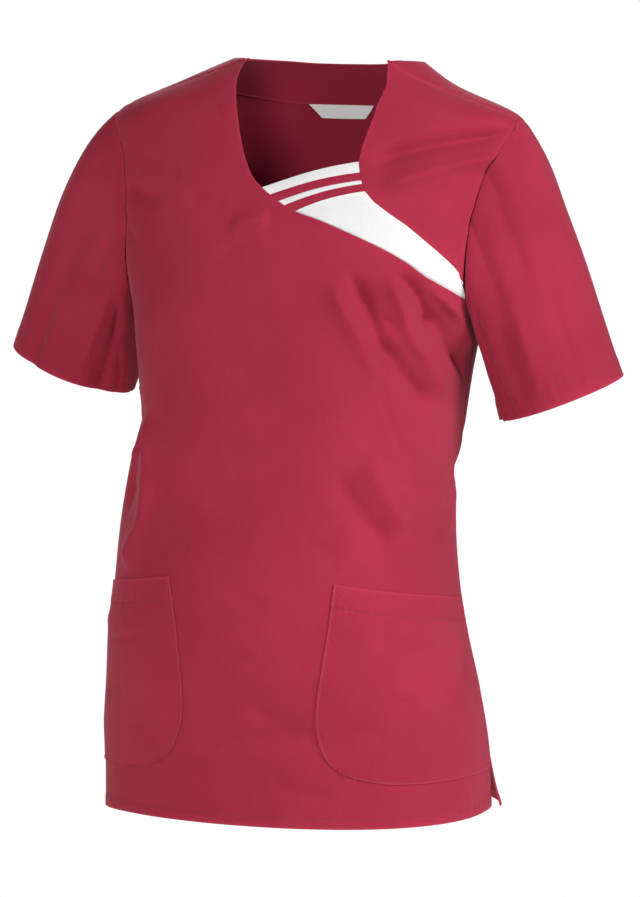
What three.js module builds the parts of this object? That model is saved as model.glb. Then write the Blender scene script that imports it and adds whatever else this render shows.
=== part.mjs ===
// A woman's short-sleeved wrap-front scrub tunic in size small, hollow, in the form it has when worn.
// Millimetres, +Z up, the front towards -Y and the wearer's left towards +X. The origin lies midway
// between the two neck points, where the shoulders carry the tunic. In the tables below a height is
// measured up from the hem, and an angle in degrees round the body from the front centre, plus
// towards the wearer's left. Each piece of cloth is one closed wall with its outer face on the form.
import * as THREE from 'three';

const NECK_POINT_HEIGHT = 694;
const UNDERARM_HEIGHT = 462;
const SHOULDER_TIP_HEIGHT = 643;
const SLIT_HEIGHT = 48;
const CLOTH = 1.4;
const SEAM_GAP = 0.3;
const HEM_STEP = 0.5;
const BODY_HEM = 10.4;
const SLEEVE_HEM = 19;
const POCKET_HEM = 23;
const STEP_RISE = 0.8;

const RED = { color: 0xa32b44, roughness: 0.85, metalness: 0 };
const WHITE = { color: 0xf1efec, roughness: 0.85, metalness: 0 };
const LABEL_WHITE = { color: 0xf8f8f6, roughness: 0.6, metalness: 0 };

// Body sections: half the width, depth of front and back from the middle line, how far that line
// lies behind the neck, squareness of the oval, and how far the section leans to the wearer's left.
const BODY = table('height halfWidth front back middle square lean', [
  [0, 183, 139, 134, -20, 2.25, -14],
  [50, 182, 138, 131, -22, 2.25, -14],
  [110, 175.5, 135, 126, -27, 2.25, -15],
  [165, 168, 131, 121, -32, 2.25, -18],
  [215, 162, 127, 115, -33, 2.25, -19.5],
  [270, 157.5, 121, 110, -29, 2.25, -19.5],
  [315, 155, 118, 110, -23, 2.25, -16.5],
  [360, 152, 119, 113, -17, 2.3, -10],
  [420, 158, 124, 118, -11, 2.35, -9],
  [462, 166, 121, 120, -8, 2.3, -7],
  [510, 184, 110, 118, -5, 2.2, -5],
  [555, 194, 98, 113, -2, 2.1, -4],
  [600, 197, 87, 104, -1, 2.05, -2],
  [643, 195, 74, 88, 0, 2, -1],
  [672, 130.5, 63, 73, 0, 2, -1],
  [695, 86, 52, 58, 0, 2, 10],
]);

// The darts give the front this much room on each side.
const BUST = { height: 430, angle: 38, out: 7, spread: 24, above: 55, below: 110 };

// The wearer's left shoulder is a little lower: drop for each millimetre sideways, from waist up.
const STANCE = { drop: 0.013, from: 150, over: 200 };

// Largest folds: a soft trough (minus) or ridge (plus) from one place to another.
const FOLDS = table('angle height toAngle toHeight width rise', [
  [38, 496, 66, 391, 12, -3.4],
  [32, 489, 56, 396, 12, 1.8],
  [51, 483, 67, 411, 8, 1.6],
  [55, 497, 77, 424, 11, -3.0],
  [64, 476, 81, 431, 9, 1.8],
  [42, 330, 62, 279, 12, 3.2],
  [50, 290, 64, 262, 10, -3.0],
  [28, 260, 39, 242, 10, -1.6],
  [80, 627, 56, 606, 11, -2.0],
  [76, 583, 61, 562, 9, 1.6],
  [-26, 539, -3, 552, 10, 1.2],
  [-76, 577, -57, 560, 10, -1.8],
  [-55, 372, -47, 262, 13, 2.6],
  [-47, 285, -58, 222, 12, 2.0],
  [-66, 380, -64, 262, 13, -2.8],
  [-84, 452, -66, 398, 10, -2.4],
  [7, 105, 25, 88, 12, -1.2],
  [-22, 72, 26, 85, 12, -1.2],
  [92, 330, 118, 292, 13, -2.6],
  [104, 366, 146, 318, 13, -3.2],
  [112, 330, 150, 290, 12, 2.2],
  [255, 362, 216, 312, 13, -3.2],
  [250, 322, 212, 282, 12, 2.2],
  [262, 300, 236, 262, 12, -2.4],
  [116, 505, 142, 436, 12, -2.6],
  [246, 500, 220, 440, 12, -2.2],
  [126, 612, 138, 520, 14, -1.8],
  [233, 606, 224, 530, 14, -1.6],
  [148, 170, 152, 12, 17, -2.8],
  [176, 150, 181, 8, 17, 1.8],
  [214, 160, 210, 14, 17, -2.6],
]);
const FOLD_RADIUS = 150;
const FOLD_FADE = 0.3;

// Seams and free edges, as the angle at each height.
const SIDE_SEAM = table('height angle', [[0, 100], [250, 99], [400, 95], [462, 90]]);
const SHOULDER_SEAM = table('height angle', [
  [643, 90], [651, 85.5], [659, 83.3], [669, 79.6], [676, 75.2], [683, 70.5], [688, 68.3], [694, 67],
]);
const WRAP_EDGE = table('height angle', [
  [478, 75.6], [487, 69], [500, 60.5], [514, 54], [528, 45], [540, 33.8], [549, 22.8], [557, 9.2],
  [565.5, -0.5], [577.3, -11.4], [586, -17.8], [601, -24.1], [620, -30.2], [642, -36.6],
  [668, -45], [687, -57], [694, -63.5],
]);
const INNER_EDGE = table('height angle', [
  [494, 73.6], [505, 70.3], [517, 66], [531, 61], [551, 53.5], [564, 46.7], [576.3, 42.3],
  [585.8, 41.1], [593, 40.7], [603, 40.6], [630, 45.6], [651, 51], [661, 55.2],
  [671.5, 59.8], [678.3, 62.4], [685.4, 64], [694, 64.5],
]);
const ARMHOLE = { frontCut: 0.125, backCut: 0.1 };

// The insert's strips: height of each strip's lower and upper line at the wrap edge and at the
// inner edge of the upper front. Each line bows up by the same amount in its middle.
const STRIPS = table('name lowWrap highWrap lowInner highInner material', [
  ['insert_red_lower', 557, 562, 576.3, 582.6, RED],
  ['insert_white_middle', 562, 565.5, 582.6, 585.8, WHITE],
  ['insert_red_upper', 565.5, 571.2, 585.8, 592.9, RED],
  ['insert_white_top', 571.2, 577.3, 592.9, 602.4, WHITE],
]);
const STRIP_BOW = 1.8;

// Pockets: angle of the inner edge at each height. Outwards the foot drops to its level over the
// share round of the width, and the mouth slopes down by sag.
const LEFT_POCKET = table('height angle', [
  [52, 35.5], [62, 31.3], [78, 28.5], [97, 27.6], [120, 28.8], [151, 31.8], [183, 34.8], [224, 37.6],
]);
const RIGHT_POCKET = table('height angle', [
  [52, 35.5], [62, 31], [78, 27.5], [97, 25.5], [120, 25.2], [151, 26], [183, 27.6], [224, 31.6],
]);
const POCKET = {
  standOff: 0.5, fullness: 1.8, sag: 25, sagFrom: 10, sideMargin: 2.5, footDrop: 12.5, footReach: 60,
  round: 0.43, footCurve: 2.6,
};
const POCKET_TOP = 224;
const POCKET_HEIGHTS = [
  52, 60, 70, 82, 97, 120, 150, 176, POCKET_TOP - POCKET_HEM - STEP_RISE, POCKET_TOP - POCKET_HEM, POCKET_TOP,
];

// Short sleeves: middle of the cuff beside the body's middle line, its height, how far the sleeve
// swings out and back, half sizes of the cuff's oval, and the way the sleeve head leaves the shoulder.
const SLEEVES = table('name side out behind height swingOut swingBack across deep headOut headDown pull', [
  ['sleeve_left', 1, 238, 20, 386, 20.5, 7.5, 62, 56, 0.66, 0.75, 0.0],
  ['sleeve_right', -1, 246, 16, 396, 21, 5, 62, 54, 0.84, 0.54, 0.22],
]);
const SLEEVE_FOLDS = table('side turn from to width rise', [
  [1, 52, 0.2, 1, 13, -2.4],
  [1, 74, 0.45, 0.95, 10, -1.8],
  [1, 96, 0.1, 0.8, 14, 1.4],
  [1, 20, 0.3, 1.1, 14, -2.2],
  [1, 250, 0.1, 0.8, 16, -2.2],
  [1, 300, 0.3, 1.1, 14, -2.4],
  [-1, 40, 0.2, 1, 14, -2.4],
  [-1, 118, 0.15, 0.8, 14, -1.8],
  [-1, 246, 0.2, 0.9, 16, -2.2],
  [-1, 305, 0.3, 1.1, 14, -2.2],
]);

// How a sleeve's lines leave and arrive, and how far its folds fade in and out along it.
const SLEEVE_LINE = { headCurve: 1.5, headBack: 0.02, fullness: 0.3, leave: 0.62, arrive: 0.9 };
const SLEEVE_FADE = { start: 0.25, end: 0.1 };
const SLEEVE_STEPS = [0, 0.11, 0.25, 0.4, 0.56, 0.72, 0.87];
const MITRE = { from: -0.2, to: 0.4, longest: 1.3 };

// Where the grids have their points. Pieces that meet at a seam share its points.
const COLUMNS = { front: 28, upperLeft: 7, insert: 6, back: 20, label: 4, pocket: 12 };
const LOWER_HEIGHTS = [
  0, BODY_HEM, BODY_HEM + STEP_RISE, 28, SLIT_HEIGHT, 70, 94, 118, 142, 166, 190, 214, 238, 260, 280,
  300, 318, 334, 350, 366, 382, 398, 414, 430, 446, UNDERARM_HEIGHT,
];
const ARMHOLE_TURNS = [0, 18, 35, 50, 64, 78, 92, 106, 120, 134, 148, 163, 180];
const SHOULDER_HEIGHTS = [650, 657, 664, 671, 677, 683, 688, NECK_POINT_HEIGHT];
const WRAP_HEIGHTS = [
  488, 500, 514, 526, 537, 545, 551.5, 557, 562, 565.5, 571.2, 577.3, 592, 612, 636, 664, 680,
  NECK_POINT_HEIGHT,
];
const INNER_HEIGHTS = [
  504, 514, 525, 536, 547, 558, 567.5, 576.3, 582.6, 585.8, 592.9, 602.4, 616, 632, 652, 672,
  NECK_POINT_HEIGHT,
];
const WRAP_START = 2;
const INNER_START = 3;
const CORNER_AHEAD = 1;
const FRONT_SPREAD = 0.05;
const FRONT_LIFT = 0.8;

const rad = THREE.MathUtils.degToRad;

function table(columns, rows) {
  const names = columns.split(' ');
  return Object.fromEntries(names.map((name, k) => [name, rows.map((row) => row[k])]));
}

function rowsOf(data) {
  const names = Object.keys(data);
  return data[names[0]].map((_, k) => Object.fromEntries(names.map((name) => [name, data[name][k]])));
}

function smoothstep(from, to, value) {
  return THREE.MathUtils.smoothstep(value, from, to);
}

// A smooth curve through two columns of a table: a cubic between each two rows, whose slope at a row
// is the mean of the slopes on either side. Past the ends it runs on straight.
function curve(xs, ys, x) {
  const last = xs.length - 1;
  const rise = (k) => (ys[k + 1] - ys[k]) / (xs[k + 1] - xs[k]);
  const slope = (k) => (k === 0 ? rise(0) : k === last ? rise(last - 1) : (rise(k - 1) + rise(k)) / 2);
  if (x <= xs[0]) return ys[0] + (x - xs[0]) * slope(0);
  if (x >= xs[last]) return ys[last] + (x - xs[last]) * slope(last);
  const k = xs.findIndex((value) => value > x) - 1;
  const width = xs[k + 1] - xs[k];
  const t = (x - xs[k]) / width;
  const start = (1 + 2 * t) * (1 - t) ** 2 * ys[k] + t * (1 - t) ** 2 * width * slope(k);
  const end = t * t * (3 - 2 * t) * ys[k + 1] - t * t * (1 - t) * width * slope(k + 1);
  return start + end;
}

const at = (data, column, height) => curve(data.height, data[column], height);

function stand(point) {
  const lean = at(BODY, 'lean', point.z);
  const rise = THREE.MathUtils.clamp((point.z - STANCE.from) / STANCE.over, 0, 1);
  const drop = STANCE.drop * rise * point.x;
  return new THREE.Vector3(point.x + lean, point.y, point.z - drop - NECK_POINT_HEIGHT);
}

// The body's oval: radius = (|sin/a|^n + |cos/b|^n)^(-1/n).
function ovalRadius(angle, height) {
  const s = Math.sin(rad(angle));
  const c = Math.cos(rad(angle));
  const n = at(BODY, 'square', height);
  const depth = at(BODY, c > 0 ? 'front' : 'back', height);
  const oval = Math.abs(s / at(BODY, 'halfWidth', height)) ** n + Math.abs(c / depth) ** n;
  return oval ** (-1 / n);
}

// A place on the bare form: the oval with the bust's room added in front.
function bodyPoint(angle, height) {
  const above = height - BUST.height;
  const level = Math.exp(-((above / (above > 0 ? BUST.above : BUST.below)) ** 2));
  const bumps = [-1, 1].map((side) => Math.exp(-((wrapAngle(angle - side * BUST.angle) / BUST.spread) ** 2)));
  const radius = ovalRadius(angle, height) + BUST.out * level * (bumps[0] + bumps[1]);
  const x = radius * Math.sin(rad(angle));
  return stand(new THREE.Vector3(x, at(BODY, 'middle', height) - radius * Math.cos(rad(angle)), height));
}

function wrapAngle(angle) {
  return THREE.MathUtils.euclideanModulo(angle + 180, 360) - 180;
}

// Rise of all folds at a place: rise * exp(-(distance / width)^2), faded out at a fold's two ends.
function foldRise(angle, height) {
  const across = (from, to) => rad(wrapAngle(to - from)) * FOLD_RADIUS;
  return rowsOfFolds.reduce((sum, fold) => {
    const run = [across(fold.angle, fold.toAngle), fold.toHeight - fold.height];
    const here = [across(fold.angle, angle), height - fold.height];
    const length = Math.hypot(...run);
    const along = (here[0] * run[0] + here[1] * run[1]) / length ** 2;
    const off = (here[0] * run[1] - here[1] * run[0]) / length;
    const fade = smoothstep(0, FOLD_FADE, Math.min(along, 1 - along));
    return sum + fold.rise * Math.exp(-((off / fold.width) ** 2)) * fade;
  }, 0);
}
const rowsOfFolds = rowsOf(FOLDS);

// Outward normal of a surface of two parameters, from points a small step to either side.
function normalOf(surface, u, v, stepU, stepV) {
  const alongU = surface(u + stepU, v).sub(surface(u - stepU, v));
  const alongV = surface(u, v + stepV).sub(surface(u, v - stepV));
  return alongU.cross(alongV).normalize();
}

function clothPoint(angle, height) {
  const normal = normalOf(bodyPoint, angle, height, 0.2, 0.5);
  return bodyPoint(angle, height).addScaledVector(normal, foldRise(angle, height));
}

function clothSpot(angle, height) {
  return { point: clothPoint(angle, height), normal: normalOf(clothPoint, angle, height, 0.5, 1.2) };
}

// The armhole as a closed loop: turn 0 at the underarm, 90 at the front, 180 at the shoulder tip.
function armholePlace(turn) {
  const low = UNDERARM_HEIGHT;
  const high = SHOULDER_TIP_HEIGHT;
  const height = (low + high) / 2 - ((high - low) / 2) * Math.cos(rad(turn));
  const front = Math.sin(rad(turn)) >= 0;
  const cut = (front ? ARMHOLE.frontCut : ARMHOLE.backCut) * Math.sin(rad(turn)) ** 2;
  const n = at(BODY, 'square', height);
  const across = at(BODY, 'halfWidth', height) * (1 - cut);
  const depth = at(BODY, front ? 'front' : 'back', height) * (1 - (1 - cut) ** n) ** (1 / n);
  const angle = THREE.MathUtils.radToDeg(Math.atan2(across, front ? depth : -depth));
  return { angle, height };
}

function sleeveFrame(sleeve) {
  const out = rad(sleeve.swingOut);
  const back = rad(sleeve.swingBack);
  const down = new THREE.Vector3(Math.sin(out) * Math.cos(back), Math.sin(back), -Math.cos(out) * Math.cos(back));
  const across = new THREE.Vector3(Math.cos(out), 0, Math.sin(out));
  return { down, across, forward: down.clone().cross(across).normalize() };
}

// A sleeve's lines run from the armhole to the cuff as cubics: they leave the armhole along the arm
// below and along the shoulder's slope above, and all reach the cuff along the arm.
function sleevePoint(sleeve, turn, t) {
  const c = Math.cos(rad(turn));
  const s = Math.sin(rad(turn));
  const { down, across, forward } = sleeveFrame(sleeve);
  const place = armholePlace(turn);
  const radius = ovalRadius(place.angle, place.height);
  const raw = new THREE.Vector3(radius * Math.sin(rad(place.angle)), 0, place.height);
  raw.y = at(BODY, 'middle', place.height) - radius * Math.cos(rad(place.angle));
  const cuff = new THREE.Vector3(sleeve.out, sleeve.behind, sleeve.height);
  cuff.addScaledVector(across, -sleeve.across * c).addScaledVector(forward, sleeve.deep * s);
  const top = (1 - c) / 2;
  const head = top ** SLEEVE_LINE.headCurve;
  const leave = down.clone().multiplyScalar(1 - head);
  leave.addScaledVector(new THREE.Vector3(sleeve.headOut, SLEEVE_LINE.headBack, -sleeve.headDown), head);
  leave.y -= SLEEVE_LINE.fullness * s;
  const length = cuff.distanceTo(raw);
  leave.normalize().multiplyScalar(length * (SLEEVE_LINE.leave + sleeve.pull * top));
  const arrive = down.clone().multiplyScalar(length * SLEEVE_LINE.arrive);
  const point = raw.multiplyScalar((1 + 2 * t) * (1 - t) ** 2).addScaledVector(leave, t * (1 - t) ** 2);
  point.addScaledVector(cuff, t * t * (3 - 2 * t)).addScaledVector(arrive, -t * t * (1 - t));
  point.x *= sleeve.side;
  return stand(point);
}

// The sleeve starts exactly on the body's armhole line, folds included, and carries its own folds.
function sleeveCloth(sleeve, turn, t) {
  const place = armholePlace(turn);
  const seam = clothPoint(sleeve.side * place.angle, place.height);
  const shift = seam.sub(sleevePoint(sleeve, turn, 0)).multiplyScalar((1 - t) ** 2);
  const bare = (u, v) => sleevePoint(sleeve, u, v);
  const normal = normalOf(bare, turn, t, 0.5, 0.01).multiplyScalar(-sleeve.side);
  const rise = sleeveFoldRows.filter((fold) => fold.side === sleeve.side).reduce((sum, fold) => {
    const off = wrapAngle(turn - fold.turn) / fold.width;
    const fadeIn = smoothstep(fold.from, fold.from + SLEEVE_FADE.start, t);
    const fadeOut = 1 - smoothstep(fold.to - SLEEVE_FADE.end, fold.to + SLEEVE_FADE.end, t);
    return sum + fold.rise * Math.exp(-off * off) * fadeIn * fadeOut;
  }, 0);
  return bare(turn, t).add(shift).addScaledVector(normal, rise);
}
const sleeveFoldRows = rowsOf(SLEEVE_FOLDS);

// Where body and sleeve meet, both walls lean towards their shared mitre, except under the arm,
// where they hang back to back.
function armholeNormals(sleeve, turn) {
  const place = armholePlace(turn);
  const body = clothSpot(sleeve.side * place.angle, place.height).normal;
  const own = (u, v) => sleeveCloth(sleeve, u, v);
  const arm = normalOf(own, turn, 0.02, 0.8, 0.015).multiplyScalar(-sleeve.side);
  const share = smoothstep(MITRE.from, MITRE.to, body.dot(arm));
  const lean = (one, other) => {
    const mitre = one.clone().addScaledVector(other, share).normalize();
    return mitre.multiplyScalar(Math.min(1 / mitre.dot(one), MITRE.longest));
  };
  return { body: lean(body, arm), arm: lean(arm, body) };
}

// Moves the points of a closed boundary into its piece, square to the edge, by half a seam gap.
function insetLoop(loop) {
  const count = loop.length;
  const moves = loop.map((spot, k) => {
    const before = spot.point.clone().sub(loop[(k + count - 1) % count].point);
    const after = loop[(k + 1) % count].point.clone().sub(spot.point);
    const normal = spot.normal.clone().normalize();
    const a = normal.clone().cross(before).normalize();
    const b = normal.clone().cross(after).normalize();
    return a.clone().add(b).multiplyScalar(SEAM_GAP / 2 / Math.max(1 + a.dot(b), 0.4));
  });
  loop.forEach((spot, k) => spot.point.add(moves[k]));
}

// A closed wall over a grid of spots, rows from bottom to top. A spot has its point on the form, its
// outward normal, its rise above the form, and the wall's thickness there.
function wall(name, finish, rows, isTube) {
  const across = rows[0].length;
  const top = rows.length - 1;
  if (isTube) {
    insetLoop(rows[0]);
  } else {
    const sides = rows.slice(1, top);
    const right = sides.map((row) => row[across - 1]);
    const left = sides.map((row) => row[0]).reverse();
    insetLoop([...rows[0], ...right, ...[...rows[top]].reverse(), ...left]);
  }
  const positions = [];
  const put = (spot, rise) => {
    const place = spot.point.clone().addScaledVector(spot.normal, rise);
    positions.push(place.x, place.y, place.z);
  };
  rows.forEach((row) => row.forEach((spot) => put(spot, spot.rise)));
  rows.forEach((row) => row.forEach((spot) => put(spot, spot.rise - spot.thickness)));
  const half = rows.length * across;
  const outer = (i, j) => j * across + (i % across);
  const inner = (i, j) => half + outer(i, j);
  const faces = [];
  const quad = (a, b, c, d) => faces.push(a, b, c, a, c, d);
  const spots = rows.flat();
  const gap = (a, b) => spots[a].point.distanceTo(spots[b].point);
  const corners = (i, j) => [outer(i, j), outer(i + 1, j), outer(i + 1, j + 1), outer(i, j + 1)];
  const cells = isTube ? across : across - 1;
  for (let j = 0; j < top; j += 1) {
    for (let i = 0; i < cells; i += 1) {
      const [a, b, c, d] = corners(i, j);
      const ring = gap(a, c) <= gap(b, d) ? [a, b, c, d] : [b, c, d, a];
      quad(...ring);
      quad(...[ring[0], ring[3], ring[2], ring[1]].map((k) => k + half));
    }
  }
  for (let i = 0; i < cells; i += 1) {
    quad(outer(i, 0), inner(i, 0), inner(i + 1, 0), outer(i + 1, 0));
    quad(outer(i, top), outer(i + 1, top), inner(i + 1, top), inner(i, top));
  }
  for (let j = 0; j < top && !isTube; j += 1) {
    quad(outer(0, j), outer(0, j + 1), inner(0, j + 1), inner(0, j));
    quad(outer(cells, j), inner(cells, j), inner(cells, j + 1), outer(cells, j + 1));
  }
  const geometry = new THREE.BufferGeometry();
  geometry.setAttribute('position', new THREE.Float32BufferAttribute(positions, 3));
  geometry.setIndex(faces);
  geometry.computeVertexNormals();
  const mesh = new THREE.Mesh(geometry, new THREE.MeshStandardMaterial(finish));
  mesh.name = name;
  return mesh;
}

// A panel on the body between two edges, each a list of places. Row k runs from place k of one edge
// to place k of the other: spread shares out its angle and lift its height. bend and finish adjust
// the height and the spot.
function panelRows(left, right, columns, shape = {}) {
  const spread = shape.spread ?? ((u) => u);
  const lift = shape.lift ?? spread;
  return left.map((from, j) => {
    const to = right[j];
    return Array.from({ length: columns + 1 }, (_, i) => {
      const u = i / columns;
      const angle = THREE.MathUtils.lerp(from.angle, to.angle, spread(u));
      const level = THREE.MathUtils.lerp(from.height, to.height, lift(u));
      const height = level + (shape.bend ? shape.bend(u, j) : 0);
      const spot = { ...clothSpot(angle, height), rise: 0, thickness: CLOTH };
      const edge = i === 0 ? from : i === columns ? to : {};
      if (edge.mitre) spot.normal = edge.mitre;
      if (shape.finish) shape.finish(spot, { u, j, angle, level });
      return spot;
    });
  });
}

const placesOn = (edge, side, heights) =>
  heights.map((height) => ({ angle: side * at(edge, 'angle', height), height }));

// Places along an armhole from one turn to another. Turns past 180 run down the back.
function armholePlaces(sleeve, turns) {
  return turns.map((turn) => {
    const { angle, height } = armholePlace(turn);
    return { angle: sleeve.side * angle, height, mitre: armholeNormals(sleeve, turn).body };
  });
}

// The hem hangs a little lower towards the wearer's right slit.
const HEM_DROP = { most: 7.5, angle: -84, spread: 24 };

function hemDrop(angle, height) {
  const open = Math.max(0, 1 - height / (2 * SLIT_HEIGHT));
  return -HEM_DROP.most * open * Math.exp(-(((angle - HEM_DROP.angle) / HEM_DROP.spread) ** 2));
}

function turnedHem(spot, place) {
  if (place.level <= BODY_HEM) {
    spot.rise += HEM_STEP;
    spot.thickness += 2 * HEM_STEP;
  }
}

const [leftSleeve, rightSleeve] = rowsOf(SLEEVES);
const backTurns = ARMHOLE_TURNS.map((turn) => -turn);
const lowerHeights = LOWER_HEIGHTS.slice(0, -1);

// The main front crosses over from the wearer's right shoulder and covers the whole lower front. Its
// rows leave the wrap edge almost level, so that they never rise faster than that edge.
function mainFront() {
  const left = [
    ...placesOn(SIDE_SEAM, -1, lowerHeights),
    ...armholePlaces(rightSleeve, ARMHOLE_TURNS),
    ...placesOn(SHOULDER_SEAM, -1, SHOULDER_HEIGHTS),
  ];
  const right = [
    ...placesOn(SIDE_SEAM, 1, lowerHeights),
    ...armholePlaces(leftSleeve, ARMHOLE_TURNS.slice(0, WRAP_START + 1)),
    ...placesOn(WRAP_EDGE, 1, WRAP_HEIGHTS),
  ];
  const spread = (u) => u + FRONT_SPREAD * Math.sin(Math.PI * u);
  const lift = (u) => spread(u) + FRONT_LIFT * spread(u) ** 2 * (1 - spread(u));
  const bend = (u, j) => hemDrop(THREE.MathUtils.lerp(left[j].angle, right[j].angle, spread(u)), left[j].height);
  return wall('front_main', RED, panelRows(left, right, COLUMNS.front, { spread, lift, bend, finish: turnedHem }));
}

// The low corner where insert and upper left front meet, just ahead of the armhole seam.
function innerCorner() {
  const [start] = armholePlaces(leftSleeve, [ARMHOLE_TURNS[INNER_START]]);
  return { angle: start.angle - CORNER_AHEAD, height: start.height };
}

function upperLeftFront() {
  const left = [innerCorner(), ...placesOn(INNER_EDGE, 1, INNER_HEIGHTS)];
  const right = [
    ...armholePlaces(leftSleeve, ARMHOLE_TURNS.slice(INNER_START)),
    ...placesOn(SHOULDER_SEAM, 1, SHOULDER_HEIGHTS),
  ];
  return wall('front_upper_left', RED, panelRows(left, right, COLUMNS.upperLeft));
}

// The insert fills the neckline between the two fronts: a white panel below four narrow strips.
function insertPanel() {
  const wrapHeights = WRAP_HEIGHTS.filter((height) => height <= STRIPS.lowWrap[0]);
  const innerHeights = INNER_HEIGHTS.filter((height) => height <= STRIPS.lowInner[0]);
  const start = armholePlaces(leftSleeve, [ARMHOLE_TURNS[WRAP_START]]);
  const wrap = [...start, ...placesOn(WRAP_EDGE, 1, wrapHeights)];
  const inner = [innerCorner(), ...placesOn(INNER_EDGE, 1, innerHeights)];
  const bend = (u, j) => STRIP_BOW * 4 * u * (1 - u) * (j / (wrap.length - 1)) ** 2;
  return wall('insert_panel', WHITE, panelRows(wrap, inner, COLUMNS.insert, { bend }));
}

function insertStrips() {
  const bend = (u) => STRIP_BOW * 4 * u * (1 - u);
  return rowsOf(STRIPS).map((strip) => {
    const wrap = placesOn(WRAP_EDGE, 1, [strip.lowWrap, strip.highWrap]);
    const inner = placesOn(INNER_EDGE, 1, [strip.lowInner, strip.highInner]);
    return wall(strip.name, strip.material, panelRows(wrap, inner, COLUMNS.insert, { bend }));
  });
}

const NECK_DIP = 7;
const SLIT_FLARE = { out: 11, reach: 26, curve: 1.5 };

function backDip(u, height) {
  return -NECK_DIP * (1 - (2 * u - 1) ** 2) ** 1.5 * smoothstep(SHOULDER_TIP_HEIGHT, NECK_POINT_HEIGHT, height);
}

function backEdges() {
  const edge = (side, sleeve) => [
    ...placesOn(SIDE_SEAM, side, lowerHeights),
    ...armholePlaces(sleeve, backTurns),
    ...placesOn(SHOULDER_SEAM, side, SHOULDER_HEIGHTS),
  ];
  const left = edge(1, leftSleeve);
  const right = edge(-1, rightSleeve).map((place) => ({ ...place, angle: place.angle + 360 }));
  return { left, right };
}

// Below the slits the back's corners stand out a little further than the front's.
function back() {
  const { left, right } = backEdges();
  const bend = (u, j) => backDip(u, left[j].height);
  const finish = (spot, place) => {
    turnedHem(spot, place);
    const fromEdge = Math.min(place.angle - left[place.j].angle, right[place.j].angle - place.angle);
    const open = Math.max(0, 1 - place.level / SLIT_HEIGHT) ** SLIT_FLARE.curve;
    spot.rise += SLIT_FLARE.out * open * Math.exp(-((fromEdge / SLIT_FLARE.reach) ** 2));
  };
  return wall('back', RED, panelRows(left, right, COLUMNS.back, { bend, finish }));
}

// The facing strengthens the back of the neck inside, and the label hangs from its lower seam.
const FACING = { rows: 6, firstColumn: 3, curve: 14, thickness: 1, standOff: 0.8 };
const LABEL = { angle: 184, height: 636, rise: 13, halfTop: 21, halfBottom: 13.5, thickness: 1, standOff: 2.1 };

function neckFacing() {
  const { left, right } = backEdges();
  const first = left.length - FACING.rows;
  const u0 = FACING.firstColumn / COLUMNS.back;
  const between = (from, to, u) => ({
    angle: THREE.MathUtils.lerp(from.angle, to.angle, u),
    height: from.height,
  });
  const start = left.slice(first).map((from, j) => between(from, right[first + j], u0));
  const end = left.slice(first).map((from, j) => between(from, right[first + j], 1 - u0));
  const bend = (u, j) => {
    const sag = FACING.curve * (1 - Math.abs(2 * u - 1) ** 3) * (1 - j / (FACING.rows - 1));
    return backDip(u0 + u * (1 - 2 * u0), left[first + j].height) - sag;
  };
  const finish = (spot) => {
    spot.rise = -CLOTH - FACING.standOff;
    spot.thickness = FACING.thickness;
  };
  const columns = COLUMNS.back - 2 * FACING.firstColumn;
  return wall('neck_facing', RED, panelRows(start, end, columns, { bend, finish }));
}

function label() {
  const edge = (side) => [
    { angle: LABEL.angle + side * LABEL.halfBottom, height: LABEL.height },
    { angle: LABEL.angle + side * LABEL.halfTop, height: LABEL.height + LABEL.rise },
  ];
  const finish = (spot) => {
    spot.rise = -CLOTH - LABEL.standOff;
    spot.thickness = LABEL.thickness;
  };
  return wall('neck_label', LABEL_WHITE, panelRows(edge(-1), edge(1), COLUMNS.label, { finish }));
}

// A patch pocket runs from its curved inner edge to the side seam, and gapes a little at its mouth.
function pocket(name, outline, side) {
  const inner = placesOn(outline, side, POCKET_HEIGHTS);
  const outer = POCKET_HEIGHTS.map((height) => ({
    angle: side * (at(SIDE_SEAM, 'angle', height) - POCKET.sideMargin),
    height,
  }));
  const [left, right] = side > 0 ? [inner, outer] : [outer, inner];
  const low = POCKET_HEIGHTS[0];
  const bend = (u, j) => {
    const out = side > 0 ? u : 1 - u;
    const foot = 1 - Math.max(0, 1 - out / POCKET.round) ** POCKET.footCurve;
    const height = POCKET_HEIGHTS[j];
    const drop = POCKET.footDrop * foot * (1 - smoothstep(low, low + POCKET.footReach, height));
    return -drop - POCKET.sag * out * smoothstep(low + POCKET.sagFrom, POCKET_TOP - POCKET_HEM, height);
  };
  const finish = (spot, place) => {
    const v = (POCKET_HEIGHTS[place.j] - low) / (POCKET_TOP - low);
    const full = POCKET.fullness * Math.sin(Math.PI * place.u) * Math.sin(Math.PI * Math.min(v, 0.8)) ** 2;
    const doubled = POCKET_HEIGHTS[place.j] >= POCKET_TOP - POCKET_HEM ? HEM_STEP : 0;
    spot.rise = POCKET.standOff + CLOTH + full + doubled;
    spot.thickness = CLOTH + doubled;
  };
  return wall(name, RED, panelRows(left, right, COLUMNS.pocket, { bend, finish }));
}

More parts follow.
